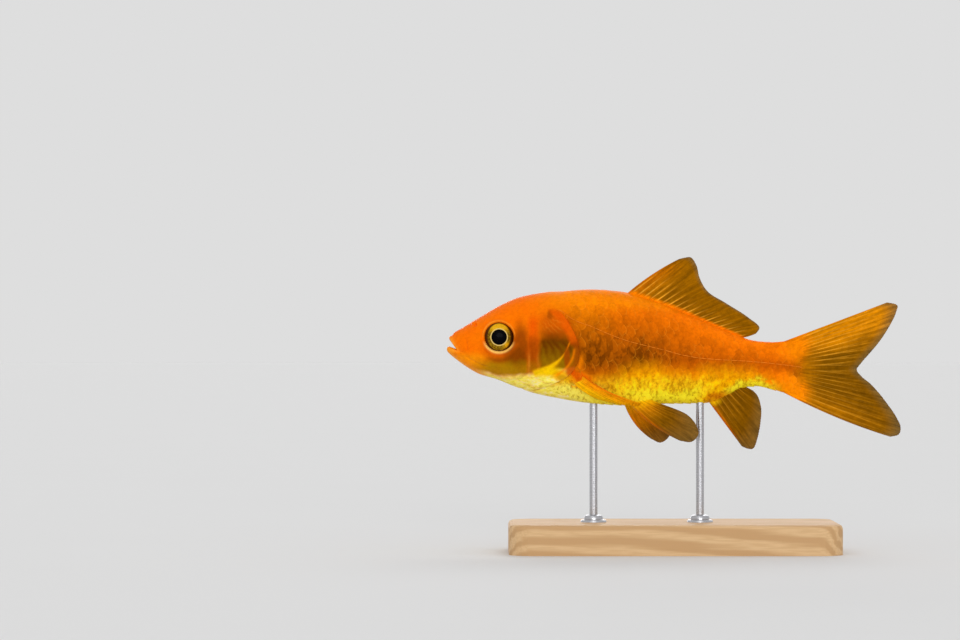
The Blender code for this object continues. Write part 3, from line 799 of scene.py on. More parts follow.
def scale_material():
    """Scales: the markings, darker with painted shade in the hollow under the scale in front and with painted
    dark reflection in upright stripes on the flank, paler at the hind rim, with fine growth rings and a
    broken painted glint where the fish is gold."""
    n = Nodes("scales_wet")
    base = n.stored_colour("markings")
    fore, across = n.value("fore"), n.value("across")
    dusky, shine = n.value("dusky"), n.value("shine")
    radius = n.maths("SQRT", n.maths("ADD", n.times(fore, fore), n.times(across, across)))
    # Painted dark reflection in upright stripes, and painted shade in the hollow under the scale in front.
    reflection_bars = n.spread(n.noise(1.0, 3.0, n.stretched((0.72, 0.3, 0.4)), 0.6), 0.46, 0.58)
    worn = n.spread(n.noise(0.4, 2.0), 0.44, 0.6)
    pocket_shade = n.times(n.times(n.spread(fore, 0.75, 0.2), dusky), n.spread(n.noise(0.8), 0.35, 0.6))
    dark = n.mix(1.0, base, (0.42, 0.4, 0.3), "MULTIPLY")
    shaded = n.maths("MAXIMUM", n.times(pocket_shade, 0.6), n.times(reflection_bars, dusky))
    colours = n.mix(shaded, base, dark)
    rim = n.times(n.spread(radius, 0.86, 0.96), n.spread(fore, 0.0, 0.4))
    pale = n.mix(0.3, base, (1.0, 0.42, 0.03))
    colours = n.mix(n.times(n.times(rim, worn), 0.5), colours, pale)
    calm = n.spread(n.noise(1.6, 4.0, roughness=0.6), 0.3, 0.7, 0.88, 1.1)
    tone = n.times(n.value("tone"), calm)
    colours = n.mix(1.0, colours, n.grey(tone), "MULTIPLY")
    # Painted glints and painted shade in flecks where the fish is gold.
    colours = n.flecks(colours, shine, (1.5, 1.0, 0.85), (0.56, 0.42, 0.2), (1.12, 1.42, 1.2))
    rings = n.maths("SINE", n.times(radius, 60.0))
    height = n.maths("ADD", n.times(rings, 0.3), n.noise(7.0, 3.0))
    return n.finish(Base_Color=colours, Roughness=n.spread(n.noise(2.0), 0.2, 0.8, 0.3, 0.48),
                    Normal=n.bump(height, 0.014, 0.6), **WARM_GLINT)


def fin_material():
    """Fins: clear web darkening to smoke at the free edge, over paler jointed rays."""
    n = Nodes("fin_web")
    ray, reach, span = n.value("ray"), n.value("reach"), n.value("length")
    # Long uneven streaks run out along the rays.
    along_rays = n.add("CombineXYZ", X=n.times(n.value("across"), 1.9), Y=n.times(span, 0.16))
    streak = n.times(n.spread(n.noise(1.0, 4.0, along_rays.outputs["Vector"], 0.6), 0.3, 0.7, 0.66, 1.22),
                     n.spread(n.noise(1.3, 4.0, roughness=0.6), 0.3, 0.7, 0.9, 1.1))
    colours = n.mix(1.0, n.stored_colour("markings"), n.grey(streak), "MULTIPLY")
    joints = n.maths("SINE", n.times(span, 12.0))
    height = n.times(n.times(joints, ray), n.spread(reach, 0.25, 0.5))
    normal = n.bump(height, 0.02, 0.6, n.bump(n.noise(8.0, 3.0), 0.015, 0.5))
    solid = n.maths("ADD", n.spread(reach, 0.9, 1.0, 1.0, 0.8), n.times(ray, 0.2))
    return n.finish(Base_Color=colours, Roughness=n.spread(n.noise(4.0), 0.2, 0.8, 0.36, 0.5), Normal=normal,
                    Alpha=n.maths("MINIMUM", solid, 1.0), **WARM_GLINT)


def eye_material(eyes):
    """Eye under a wet clear film: black pupil, pale ring, and an olive-gold iris, painted brighter where it
    is lit, in a dark groove of painted shade."""
    n = Nodes("eye_wet")
    out, lit = n.value("from_pupil_centre"), n.value("lit")
    flecks = n.maths("ADD", n.times(n.noise(2.4, 4.0, roughness=0.7), 0.7),
                     n.times(n.noise(7.0, 2.0), 0.3))
    dull = n.mix(n.spread(flecks, 0.4, 0.62), tuple(eyes.dark), tuple(eyes.olive))
    iris = n.mix(n.times(lit, n.spread(flecks, 0.3, 0.6, 0.55, 1.0)), dull, tuple(eyes.gold))
    # Painted shade in the groove round the iris.
    groove = n.times(n.spread(n.maths("SUBTRACT", out, n.value("iris_edge")), -0.12, 0.1), 0.92)
    colours = n.mix(groove, iris, tuple(eyes.groove))
    ring = n.times(n.spread(out, eyes.pupil - 0.03, eyes.pupil + 0.03),
                   n.spread(out, eyes.pupil + 0.24, eyes.pupil + 0.15))
    colours = n.mix(ring, colours, tuple(eyes.ring))
    pupil = n.spread(out, eyes.pupil + 0.03, eyes.pupil - 0.03)
    colours = n.mix(pupil, colours, (0.001, 0.001, 0.0015))
    return n.finish(Base_Color=colours, Roughness=0.4, Normal=n.bump(flecks, 0.05, 0.5), Coat_Weight=0.02,
                    Coat_Roughness=0.04, Specular_IOR_Level=0.02)


def wood_material(stand):
    """Satin maple, with the grain along the base."""
    n = Nodes("stand_maple")
    place = n.stretched((0.06, 1.0, 1.0))
    figure = n.add("TexWave", wave_type="BANDS", bands_direction="DIAGONAL", Vector=place, Scale=0.22,
                   Distortion=n.times(n.noise(0.25, 2.0, place), 14.0), Detail=3.0,
                   Detail_Scale=1.2).outputs["Fac"]
    pores = n.noise(3.5, 2.0, place)
    share = n.times(n.spread(figure, 0.1, 0.9), n.spread(pores, 0.35, 0.6, 0.6, 1.0))
    colours = n.mix(share, tuple(stand.wood_dark), tuple(stand.wood_light))
    height = n.maths("ADD", n.times(pores, 0.6), n.times(figure, 0.2))
    return n.finish(Base_Color=colours, Roughness=n.spread(pores, 0.3, 0.7, 0.62, 0.5),
                    Normal=n.bump(height, 0.06, 0.4), Specular_IOR_Level=0.15)


def steel_material(stand):
    """Brushed steel, with fine marks round the rod."""
    n = Nodes("stand_steel_brushed")
    marks = n.noise(1.0, 3.0, n.stretched((0.4, 0.4, 14.0)))
    colours = n.mix(marks, tuple(c * 0.8 for c in stand.steel), tuple(stand.steel))
    return n.finish(Base_Color=colours, Metallic=1.0, Roughness=n.spread(marks, 0.3, 0.7, 0.22, 0.36),
                    Normal=n.bump(marks, 0.01, 0.4))


# Pieces


# Where the mesh is refined: the station at which the lips end, the u behind which the head has no small
# forms, and how far before the nostril's middle its own fine patch lies. The mouth is closed at its depth.
LIPS_END = 1.6
HEAD_DETAIL_END = 28.0
NOSTRIL_FRONT = 0.2
MOUTH_DEPTH = 4.0


def skin_grid():
    """Flat mesh of the skin in its own stations and angles, finer where the head has small forms."""
    stations = np.concatenate([np.arange(-MOUTH_DEPTH, 2.0, 0.14), np.arange(2.0, 27.0, 0.3),
                               np.linspace(27.0, SKIN_END, 90)])
    angles = np.linspace(0.0, 2 * np.pi, 161)
    s, angle = np.meshgrid(stations, angles, indexing="ij")
    bm = bmesh.new()
    verts = [bm.verts.new((a, b, 0.0)) for a, b in zip(s.ravel(), angle.ravel())]
    for face in grid_faces(*s.shape):
        bm.faces.new([verts[i] for i in face])

    def refine(wanted):
        places = np.array([face.calc_center_median()[:2] for face in bm.faces])
        base = skin_base(places[:, 0], places[:, 1])
        chosen = wanted(places[:, 0], base[:, 0], base[:, 2])
        edges = {edge for face, pick in zip(bm.faces, chosen) if pick for edge in face.edges}
        bmesh.ops.subdivide_edges(bm, edges=list(edges), cuts=1, use_grid_fill=True)

    def fine(s, u, v):
        distance, strength, _ = gill_edge(u, v)
        bones = sum(groove(line, u, v, 0.6)
                    for line in (CHEEK_EDGE, COVER_SEAM, COVER_FOLD, JAW_FOLD, LIP_FOLD))
        cover = (u > 14.0) & (v < 7.6) & (distance < 1.4)
        near_gill = (strength > 0) & (distance > -0.9) & (distance < 1.4)
        near_nostril = nostril_distance(u, v, NOSTRIL_FRONT) < 1.3
        lips, eye = s < LIPS_END, eye_distance(u, v) < 4.0
        return (eye | lips | (bones > 0.5) | near_nostril | near_gill | cover) & (u < HEAD_DETAIL_END)

    def finest(s, u, v):
        distance, strength, _ = gill_edge(u, v)
        r = eye_distance(u, v)
        near_gill = (strength > 0) & (distance > -0.35) & (distance < 0.9)
        near_nostril = nostril_distance(u, v, NOSTRIL_FRONT) < 1.0
        return ((r > 2.4) & (r < 3.6) | near_gill | near_nostril) & (u < HEAD_DETAIL_END) & (s > LIPS_END)

    refine(fine)
    refine(finest)
    return bm


def make_skin(settings):
    """The one skin of the head, trunk and tail stem, closed inside the mouth and in the tail fin."""
    bm = skin_grid()
    flat = np.array([v.co[:2] for v in bm.verts])
    points = skin_surface(flat[:, 0], flat[:, 1], settings.coat_depth)
    mesh = bpy.data.meshes.new("skin")
    bm.to_mesh(mesh)
    bm.free()
    base = skin_base(flat[:, 0], flat[:, 1])
    found, _, shine = markings(base[:, 0], base[:, 2], settings)
    shine *= 0.9
    set_values(mesh, "markings", mouth_colours(found, flat[:, 0], settings))
    set_values(mesh, "shine", shine)
    share = (flat[:, 0] + MOUTH_DEPTH) / (SKIN_END + MOUTH_DEPTH)
    set_bake_map(mesh, inset(np.stack([share, flat[:, 1] / (2 * np.pi)], 1)))
    mesh.vertices.foreach_set("co", world(points).ravel().astype(np.float32))
    closed = bmesh.new()
    closed.from_mesh(mesh)
    bmesh.ops.remove_doubles(closed, verts=closed.verts, dist=1e-6)
    bmesh.ops.holes_fill(closed, edges=[e for e in closed.edges if e.is_boundary], sides=0)
    bmesh.ops.recalc_face_normals(closed, faces=closed.faces)
    closed.to_mesh(mesh)
    closed.free()
    add_piece("skin", mesh, skin_material(),
              ("head", "jaw_upper", "jaw_lower", "gill_cover_left", "gill_cover_right", "trunk", "tail_stem"))


# Spacing of the rows of scales, and of the scales along a row, by u in mm. Rows are counted up from the side
# line. The table of angles starts at FLANK_START. Rows are laid out from FIRST_SCALE, and only the scales
# behind the gill line are kept.
ROW_PITCH = [(18.0, 1.95), (26.0, 2.1), (45.0, 1.95), (60.0, 1.5), (74.0, 1.3)]
SCALE_PITCH = [(18.0, 1.72), (26.0, 1.83), (40.0, 1.74), (56.0, 1.56), (74.0, 1.3)]
ROWS = range(-8, 6)
FLANK_START = 14.0
FIRST_SCALE = 17.0


def flank_angles():
    """A table of the angle at stations and at distances over the surface above the side line."""
    stations = np.arange(FLANK_START, SKIN_END + 0.01, 0.5)
    heights = np.arange(-18.0, 18.01, 0.25)
    angles = np.linspace(-1.2, np.pi + 1.2, 500)
    table = []
    for u in stations:
        ring = body_point(np.full(len(angles), u), angles)
        arc = np.concatenate([[0.0], np.cumsum(np.linalg.norm(np.diff(ring[:, 1:], axis=0), axis=1))])
        left = (angles > 0) & (angles < np.pi)
        on_line = np.interp(-along(SIDE_LINE, np.array([u]))[0], -ring[left, 2], arc[left])
        table.append(np.interp(on_line - heights, arc, angles))
    return stations, heights, np.array(table)


def angle_at(table, u, height):
    """The angle at a station and a distance over the surface above the side line."""
    stations, heights, angles = table
    i = np.clip((u - stations[0]) / (stations[1] - stations[0]), 0, len(stations) - 1.001)
    j = np.clip((height - heights[0]) / (heights[1] - heights[0]), 0, len(heights) - 1.001)
    a, b = i.astype(int), j.astype(int)
    p, q = i - a, j - b
    return ((1 - p) * (1 - q) * angles[a, b] + p * (1 - q) * angles[a + 1, b]
            + (1 - p) * q * angles[a, b + 1] + p * q * angles[a + 1, b + 1])


def scale_places(table):
    """Middle of each scale of the left side, as its station and its row, counted up from the side line."""
    places = []
    for row in ROWS:
        u = FIRST_SCALE + (row % 2) * 0.8
        while u < SKIN_END - 2.2:
            pitch = float(along(SCALE_PITCH, np.array([u]))[0])
            places.append((u, row))
            u += pitch
    u, row = np.array(places, float).T
    height = row * along(ROW_PITCH, u)
    angle = angle_at(table, u, height)
    point = body_point(u, angle)
    rear = u + 0.55 * along(SCALE_PITCH, u)
    distance, _, _ = gill_edge(rear, point[:, 2])
    girth = np.abs(point[:, 1])
    keep = (distance > 0.5) & (angle > 0.02) & (angle < np.pi - 0.02) & (girth > 0.3)
    keep &= base_swell(point[:, 0], point[:, 2]) < 0.3
    return u[keep], row[keep]


def make_scales(settings, skin):
    """The scales of both sides. Each is a thin closed disc that rises towards its hind edge."""
    table = flank_angles()
    centre_u, centre_row = scale_places(table)
    grid = np.linspace(-1.0, 1.0, 10)
    a, b = (m.ravel() for m in np.meshgrid(grid, grid, indexing="ij"))
    # A square bent to a disc: fore is -1 at the root and 1 at the hind edge.
    fore, across = a * np.sqrt(1 - b * b / 2), b * np.sqrt(1 - a * a / 2)
    radius = np.hypot(fore, across)
    count, material = len(a), scale_material()
    for side, sign in SIDES.items():
        draw = np.random.default_rng(settings.seed + sign)
        n = len(centre_u)
        pitch, row_pitch = along(SCALE_PITCH, centre_u), along(ROW_PITCH, centre_u)
        size = draw.uniform(0.97, 1.03, n)[:, None]
        x = fore[None] * (settings.length * pitch / 2)[:, None] * size
        y = across[None] * (settings.height * row_pitch / 2)[:, None] * size * (1 - 0.12 * fore[None])
        u = centre_u[:, None] + x + draw.uniform(-0.04, 0.04, n)[:, None]
        height = centre_row[:, None] * along(ROW_PITCH, u.ravel()).reshape(u.shape) + y
        u, height = u.ravel().clip(FLANK_START, SKIN_END), height.ravel()
        angle = angle_at(table, u, height)
        base, normal = body_point(u, angle), outward(body_point, u, angle)
        small = (pitch / 1.7)[:, None]
        tilt = draw.uniform(0.85, 1.15, n)[:, None]
        # The scales lie flattest behind the nape and along the back.
        lie = (0.45 + 0.55 * ease(8.5, 3.0, centre_row * row_pitch) * ease(22.0, 27.0, centre_u))[:, None]
        slope = (settings.lift * lie + 0.1) * tilt * (fore[None] + 1) / 2
        rise = (-0.1 + slope - 0.06 * across[None] ** 2) * small
        bend = ease(0.7, 1.0, radius)[None] * 0.02
        thin = settings.thickness * (1 - 0.5 * ease(0.8, 1.0, radius))[None] * np.ones((n, 1))
        lift = trunk_sink(base[:, 0], base[:, 2]) - coat_at(base[:, 0], skin.coat_depth)
        lift = lift + (rise - bend).ravel() + base_swell(base[:, 0], base[:, 2])
        top = base + normal * lift[:, None]
        bottom = base + normal * (lift - thin.ravel())[:, None]
        points = np.concatenate([top.reshape(n, count, 3), bottom.reshape(n, count, 3)], 1).reshape(-1, 3)
        one = plate_faces(len(grid), len(grid))
        faces = (one[None] + 2 * count * np.arange(n)[:, None, None]).reshape(-1, 4)
        if sign > 0:
            points, faces = mirrored(points, faces)
        mesh = mesh_from(f"scales_{side}", world(points), faces)

        def both(values):
            values = np.asarray(values).reshape(n, count, -1)
            return np.concatenate([values, values], 1).reshape(n * 2 * count, -1).squeeze()

        # Each scale takes its colour from a slightly different place, so the markings end raggedly.
        astray = draw.normal(0.0, 0.22, (n, 2)).repeat(count, 0)
        found, dusky, shine = markings(base[:, 0] + astray[:, 0], base[:, 2] + astray[:, 1], skin)
        set_all(mesh, both, markings=found, dusky=dusky, shine=shine,
                tone=np.repeat(draw.uniform(0.9, 1.08, n), count), fore=np.tile(fore, n),
                across=np.tile(across, n))
        set_bake_map(mesh, scale_map(centre_u, centre_row, table, fore, across, count))
        add_piece(f"scales_{side}", mesh, material).data.set_sharp_from_angle(angle=math.radians(50))


def scale_map(u, row, table, fore, across, count):
    """Bake places: each scale is a small patch at its own spot on the map, with its underside beside it."""
    angle = angle_at(table, u, row * along(ROW_PITCH, u))
    spot = np.stack([u / SKIN_END, angle / np.pi], 1)
    patch = np.stack([fore * 0.0045, across * 0.012], 1)
    under = np.stack([0.0065 + fore * 0.001, across * 0.012], 1)
    return (spot[:, None] + np.concatenate([patch, under])[None]).reshape(-1, 2).clip(0.0, 1.0)


def make_side_line(skin):
    """The small tubes of the side line, one on each scale of the middle row."""
    table = flank_angles()
    u, row = scale_places(table)
    u = u[row == 0]
    ring, stations = 8, 7
    turn = np.linspace(0, 2 * np.pi, ring, endpoint=False)
    run = np.linspace(-1.0, 1.0, stations)
    thick = np.sqrt(1 - run ** 2 * 0.92)
    tubes = []
    for centre in u:
        reach = 0.5 * float(along(SCALE_PITCH, np.array([centre]))[0])
        along_row = centre + 0.62 * reach + run * reach
        a, b = np.meshgrid(along_row, turn, indexing="ij")
        wide = 0.06 * thick[:, None] * np.ones(ring)
        angle = angle_at(table, a.ravel(), (np.cos(b) * wide).ravel())
        base = body_point(a.ravel(), angle)
        lift = -0.02 + 0.06 * (run[:, None] + 1) / 2 + np.sin(b) * wide * 0.8
        sink = trunk_sink(base[:, 0], base[:, 2])
        tubes.append(base + outward(body_point, a.ravel(), angle) * (lift.ravel() + sink)[:, None])
    left = np.concatenate(tubes)
    one = [face[:1] + face[:0:-1] for face in tube_faces(stations, ring)]
    one += [list(range(ring))[::-1], list(range((stations - 1) * ring, stations * ring))]
    left_faces = [[index + k * stations * ring for index in face] for k in range(len(u)) for face in one]
    found, _, _ = markings(left[:, 0], left[:, 2], skin)
    found = found + (np.array(skin.side_line) - found) * 0.7
    spot = np.repeat(np.stack([u / SKIN_END, angle_at(table, u, 0 * u) / np.pi], 1), stations * ring, 0)
    patch = np.stack(np.meshgrid(run, np.cos(turn), indexing="ij"), -1).reshape(-1, 2) * (0.003, 0.0015)
    for side, sign in SIDES.items():
        points, faces = mirrored(left, left_faces) if sign > 0 else (left, left_faces)
        mesh = mesh_from(f"side_line_{side}", world(points), faces)
        set_values(mesh, "markings", found)
        set_bake_map(mesh, spot + np.tile(patch, (len(u), 1)))
        n = Nodes(f"side_line_{side}_tubes")
        grain = n.spread(n.noise(5.0), 0.3, 0.7, 0.9, 1.15)
        material = n.finish(Base_Color=n.mix(1.0, n.stored_colour("markings"), n.grey(grain), "MULTIPLY"),
                            Roughness=0.4, Normal=n.bump(n.noise(9.0), 0.01, 0.5), **WARM_GLINT)
        add_piece(f"side_line_{side}", mesh, material)


# Fins: each key ray is its share of the fin, front to back, its root, its tip and how far its middle bows.
STRAIGHT = (0.0, 0.0, 0.0)
DORSAL = [(0.0, (36.0, 0, 10.3), (46.4, 0, 17.2), (-0.2, 0, 0.35)),
          (0.05, (37.0, 0, 9.8), (47.6, 0, 17.5), (-0.1, 0, 0.2)),
          (0.11, (38.3, 0, 9.4), (48.8, 0.1, 17.55), STRAIGHT),
          (0.19, (40.0, 0, 8.8), (49.9, 0.15, 16.0), STRAIGHT),
          (0.29, (42.1, 0, 8.1), (50.5, 0.2, 13.6), STRAIGHT),
          (0.42, (44.9, 0, 7.1), (52.0, 0.3, 10.9), STRAIGHT),
          (0.6, (48.8, 0, 5.4), (55.8, 0.3, 8.4), STRAIGHT),
          (0.8, (53.4, 0, 3.5), (60.3, 0.1, 5.5), STRAIGHT),
          (0.93, (56.8, 0, 2.1), (62.5, -0.1, 3.4), STRAIGHT),
          (1.0, (58.4, 0, 1.3), (61.8, -0.2, 2.3), (0.1, 0, -0.1))]
TAIL = [(0.0, (67.3, 0, 0.7), (88.2, 1.2, 8.55), (0, -0.3, 0)),
        (0.05, (67.8, 0, 0.0), (90.1, 1.2, 8.1), (0.1, -0.3, -0.1)),
        (0.12, (68.2, 0, -0.8), (90.0, 1.1, 6.6), (0, -0.275, 0)),
        (0.2, (68.6, 0, -1.6), (89.2, 1.0, 4.8), (0, -0.25, 0)),
        (0.28, (68.8, 0, -2.4), (87.9, 0.9, 2.6), (0, -0.225, 0)),
        (0.36, (68.9, 0, -3.1), (86.2, 0.8, 0.2), (0, -0.2, 0)),
        (0.43, (69.0, 0, -3.8), (84.3, 0.6, -2.0), (0, -0.15, 0)),
        (0.475, (69.0, 0, -4.3), (82.9, 0.4, -3.6), (0, -0.1, 0)),
        (0.505, (69.0, 0, -4.6), (82.0, 0.2, -4.9), (0, -0.05, 0)),
        (0.54, (69.0, 0, -5.0), (82.9, 0.3, -6.2), (0, -0.075, 0)),
        (0.59, (69.0, 0, -5.4), (84.6, 0.4, -7.6), (0, -0.1, 0)),
        (0.66, (68.9, 0, -6.0), (86.5, 0.6, -9.6), (0, -0.15, 0)),
        (0.74, (68.7, 0, -6.8), (88.3, 0.8, -11.9), (0, -0.2, 0)),
        (0.83, (68.4, 0, -7.7), (90.0, 1.0, -14.4), (0, -0.25, -0.1)),
        (0.91, (67.9, 0, -8.5), (90.9, 1.1, -16.7), (0, -0.275, -0.3)),
        (0.96, (67.6, 0, -9.1), (90.4, 1.1, -18.0), (0, -0.275, -0.45)),
        (1.0, (67.3, 0, -9.5), (88.8, 1.1, -18.4), (0, -0.275, -0.6))]
ANAL = [(0.0, (52.0, 0, -10.9), (59.0, 0, -20.3), STRAIGHT),
        (0.13, (53.0, 0, -10.6), (60.3, 0.1, -20.8), STRAIGHT),
        (0.27, (54.0, 0, -10.1), (61.4, 0.2, -20.6), STRAIGHT),
        (0.42, (55.0, 0, -9.6), (62.2, 0.3, -18.4), STRAIGHT),
        (0.6, (56.2, 0, -9.0), (62.75, 0.3, -15.4), (0, 0, -0.1)),
        (0.8, (57.5, 0, -8.2), (62.8, 0.2, -12.2), (0, 0, -0.1)),
        (0.92, (58.2, 0, -7.8), (62.1, 0.1, -10.1), (0, 0, -0.1)),
        (1.0, (58.6, 0, -7.6), (61.2, 0, -9.1), (0.1, 0, -0.1))]
PECTORAL = [(0.0, (25.9, -4.9, -5.1), (38.7, -3.9, -11.6), (-0.3, -1.2, -0.8)),
            (0.3, (25.7, -4.7, -5.8), (38.0, -3.4, -12.1), (-0.9, -1.3, -0.5)),
            (0.6, (25.5, -4.5, -6.4), (35.3, -3.2, -12.0), (-0.9, -1.4, -0.2)),
            (0.8, (25.2, -4.3, -6.8), (32.4, -3.6, -11.4), (-0.8, -1.3, -0.1)),
            (1.0, (24.9, -4.1, -7.2), (29.9, -4.0, -10.7), (-0.4, -1.1, -0.2))]
PELVIC_LEFT = [(0.0, (35.9, -2.0, -10.9), (46.4, -6.6, -19.0), (-0.6, 0, -0.6)),
               (0.2, (36.7, -2.1, -10.9), (48.6, -6.9, -19.2), (-0.2, 0, -0.2)),
               (0.4, (37.5, -2.1, -10.9), (50.0, -6.7, -17.7), STRAIGHT),
               (0.6, (38.3, -2.1, -10.9), (49.5, -5.9, -15.7), STRAIGHT),
               (0.8, (39.1, -2.1, -10.8), (47.9, -4.8, -13.9), STRAIGHT),
               (1.0, (39.9, -2.1, -10.8), (45.6, -3.2, -12.8), STRAIGHT)]
PELVIC_RIGHT = [(0.0, (35.2, 2.0, -10.8), (41.0, 5.2, -18.9), (-0.7, 0, -0.6)),
                (0.2, (36.2, 2.1, -10.8), (42.9, 5.9, -19.7), (-0.2, 0, -0.2)),
                (0.4, (37.2, 2.1, -10.8), (44.5, 5.9, -18.7), STRAIGHT),
                (0.6, (38.1, 2.1, -10.8), (45.5, 5.2, -16.5), STRAIGHT),
                (0.8, (39.0, 2.1, -10.8), (45.3, 4.2, -14.3), STRAIGHT),
                (1.0, (39.8, 2.1, -10.8), (43.4, 3.0, -12.6), STRAIGHT)]


def ray_heights(share, reach, rays):
    """0 on the web to 1 on the crest of a ray. Each ray parts in two, and each branch in two again."""
    place = share * rays
    from_ray = place - np.floor(place) - 0.5
    first, second = 0.23 * ease(0.3, 1.0, reach), 0.115 * ease(0.58, 1.0, reach)
    width = 0.17 - 0.11 * ease(0.0, 0.8, reach)
    gaps = [np.abs(from_ray - p * first - q * second) for p in (-1, 1) for q in (-1, 1)]
    return bell(np.minimum.reduce(gaps), width)


# The look of a fin. Its web goes from olive to amber, or to the colour that web names, as far as amber says,
# and to yellow behind as far as sun says. The red-orange front edge is as strong as front and as slim as
# narrow. A ray's bright streak is as strong as streak, ends at the reach streak_end and loses the share lower
# in the fin's hind half. The root's yellow is in root, the body's colour runs out to blend in mm, and smoke
# colours the free edge from the reach margin on. The fin is thicker by base at its root, which lies deeper in
# the flank by sink, and its rays stand up over the reaches in rise.


def fin_colours(share, reach, span, ray, body, look, fins):
    """The body's colour at the root, amber or olive in the web, smoke at the free edge, with brighter rays
    near the root and a red-orange front edge. The span is the distance along the ray, in millimetres."""
    def blend(first, second, weight):
        return first + (second - first) * np.clip(weight, 0, 1)[:, None]

    web = np.array(getattr(fins, look.get("web", "amber")))
    found = blend(np.array(fins.olive)[None], web, look["amber"](share, reach))
    found = blend(found, np.array(fins.sun), look.get("sun", 0.0) * ease(0.2, 0.75, share))
    front = bell(share * look.get("narrow", 14.0)) * ease(1.0, 0.5, reach)
    found = blend(found, np.array(fins.blush), look["front"] * front)
    streak = look["streak"] * (1 - look.get("lower", 0.0) * ease(0.4, 0.6, share))
    found = blend(found, np.array(fins.bright), ray ** 2 * streak * ease(look["streak_end"], 0.1, reach))
    if "root" in look:
        found = blend(found, np.array(fins.sun), look["root"](share, span))
    found = blend(found, body, ease(look["blend"], look["blend"] * 0.35, span))
    margin = np.maximum(ease(look.get("margin", 0.9), 1.0, reach), 0.5 * ease(0.985, 1.0, share))
    return blend(found, np.array(fins.smoke), look["smoke"] * margin)


def make_fin(name, keys, rays, settings, skin, material, look, steps=80, per_ray=12, wave=0.12,
             on_right=False):
    """One fin as a closed sheet: a fan of branching rays with a thin web between them."""
    shares = np.linspace(0.0, 1.0, rays * per_ray + 1)
    reaches = np.linspace(0.0, 1.0, steps) ** 1.05
    knots = [key[0] for key in keys]
    root, tip, bow = (through(knots, [key[i] for key in keys], shares) for i in (1, 2, 3))
    share, reach = (m.ravel() for m in np.meshgrid(shares, reaches, indexing="ij"))
    ray = ray_heights(share, reach, rays)
    # The web draws back a little between the ends of the rays.
    pull = 1 - 0.005 * (1 - ray_heights(share, np.ones(len(share)), rays)) * ease(0.8, 1.0, reach)
    at = (reach * pull).reshape(len(shares), steps, 1)
    middle = root[:, None] * (1 - at) + tip[:, None] * at + bow[:, None] * 4 * at * (1 - at)
    sway = wave * np.sin(share * 9.0 + 1.3 * reach) * reach ** 2
    middle[..., 1] += (sway + look.get("sink", 0.0) * ease(0.16, 0.0, reach)).reshape(len(shares), steps)
    normal = np.cross(np.gradient(middle, axis=0), np.gradient(middle, axis=1))
    normal /= np.maximum(np.linalg.norm(normal, axis=2, keepdims=True), 1e-9)
    edge = np.minimum(ease(0.0, 0.02, share), ease(1.0, 0.98, share))
    rise = ease(*look.get("rise", (-0.1, 0.2)), reach)
    half = settings.web * (1 - 0.35 * reach) + settings.ray * ray * (1 - 0.75 * reach) * rise
    half += 0.2 * np.exp(-share * rays * 0.9) * (1 - 0.6 * reach) + look["base"] * ease(0.3, 0.0, reach)
    half = (half * (0.3 + 0.7 * edge) * (1 - 0.6 * ease(0.97, 1.0, reach))).reshape(len(shares), steps, 1)
    points = np.concatenate([middle + normal * half, middle - normal * half]).reshape(-1, 3)
    faces = plate_faces(len(shares), steps)
    if on_right:
        points, faces = mirrored(points, faces)
    mesh = mesh_from(name, world(points), faces)

    def both(values):
        return np.concatenate([values, values])

    flat = middle.reshape(-1, 3)
    body, _, _ = markings(flat[:, 0], flat[:, 2], skin)
    span = np.repeat(np.linalg.norm(tip - root, axis=1), steps) * reach
    set_all(mesh, both, ray=ray, across=share * rays, reach=reach, length=span,
            markings=fin_colours(share, reach, span, ray, body, look, settings))
    place = np.stack([share, reach * 0.48], 1)
    set_bake_map(mesh, inset(np.concatenate([place, place + (0.0, 0.5)])))
    add_piece(name, mesh, material, (name,))


def make_median_fins(settings, skin):
    """The dorsal, anal and tail fins, each with its own look."""
    material = fin_material()
    dorsal = {"amber": lambda share, reach: 0.13 + 0.2 * ease(0.3, 0.05, share) * ease(1.0, 0.5, reach),
              "front": 0.3, "narrow": 9.0, "streak": 1.0, "streak_end": 0.66, "blend": 1.7, "base": 0.3,
              "smoke": 0.6}
    anal = {"amber": lambda share, reach: 0.25 * ease(0.25, 0.0, share) * ease(0.6, 0.2, reach), "front": 0.5,
            "streak": 0.3, "streak_end": 0.7, "blend": 1.0, "base": 0.3, "smoke": 0.5, "margin": 0.6,
            "root": lambda share, span: 0.85 * ease(0.4, 0.1, share) * ease(2.2, 0.8, span)}
    tail = {"amber": lambda share, reach: (0.78 * ease(0.44, 0.16, share)
                                           + 0.4 * ease(0.72, 0.98, share) * ease(1.0, 0.2, reach)),
            "front": 0.0, "streak": 0.95, "streak_end": 1.15, "blend": 7.0, "base": 0.14, "smoke": 0.7,
            "margin": 0.84, "rise": (0.06, 0.3), "lower": 0.45}
    make_fin("fin_dorsal", DORSAL, 18, settings, skin, material, dorsal, wave=0.25)
    make_fin("fin_anal", ANAL, 8, settings, skin, material, anal, per_ray=16)
    make_fin("fin_tail", TAIL, 20, settings, skin, material, tail, steps=110, wave=0.3)


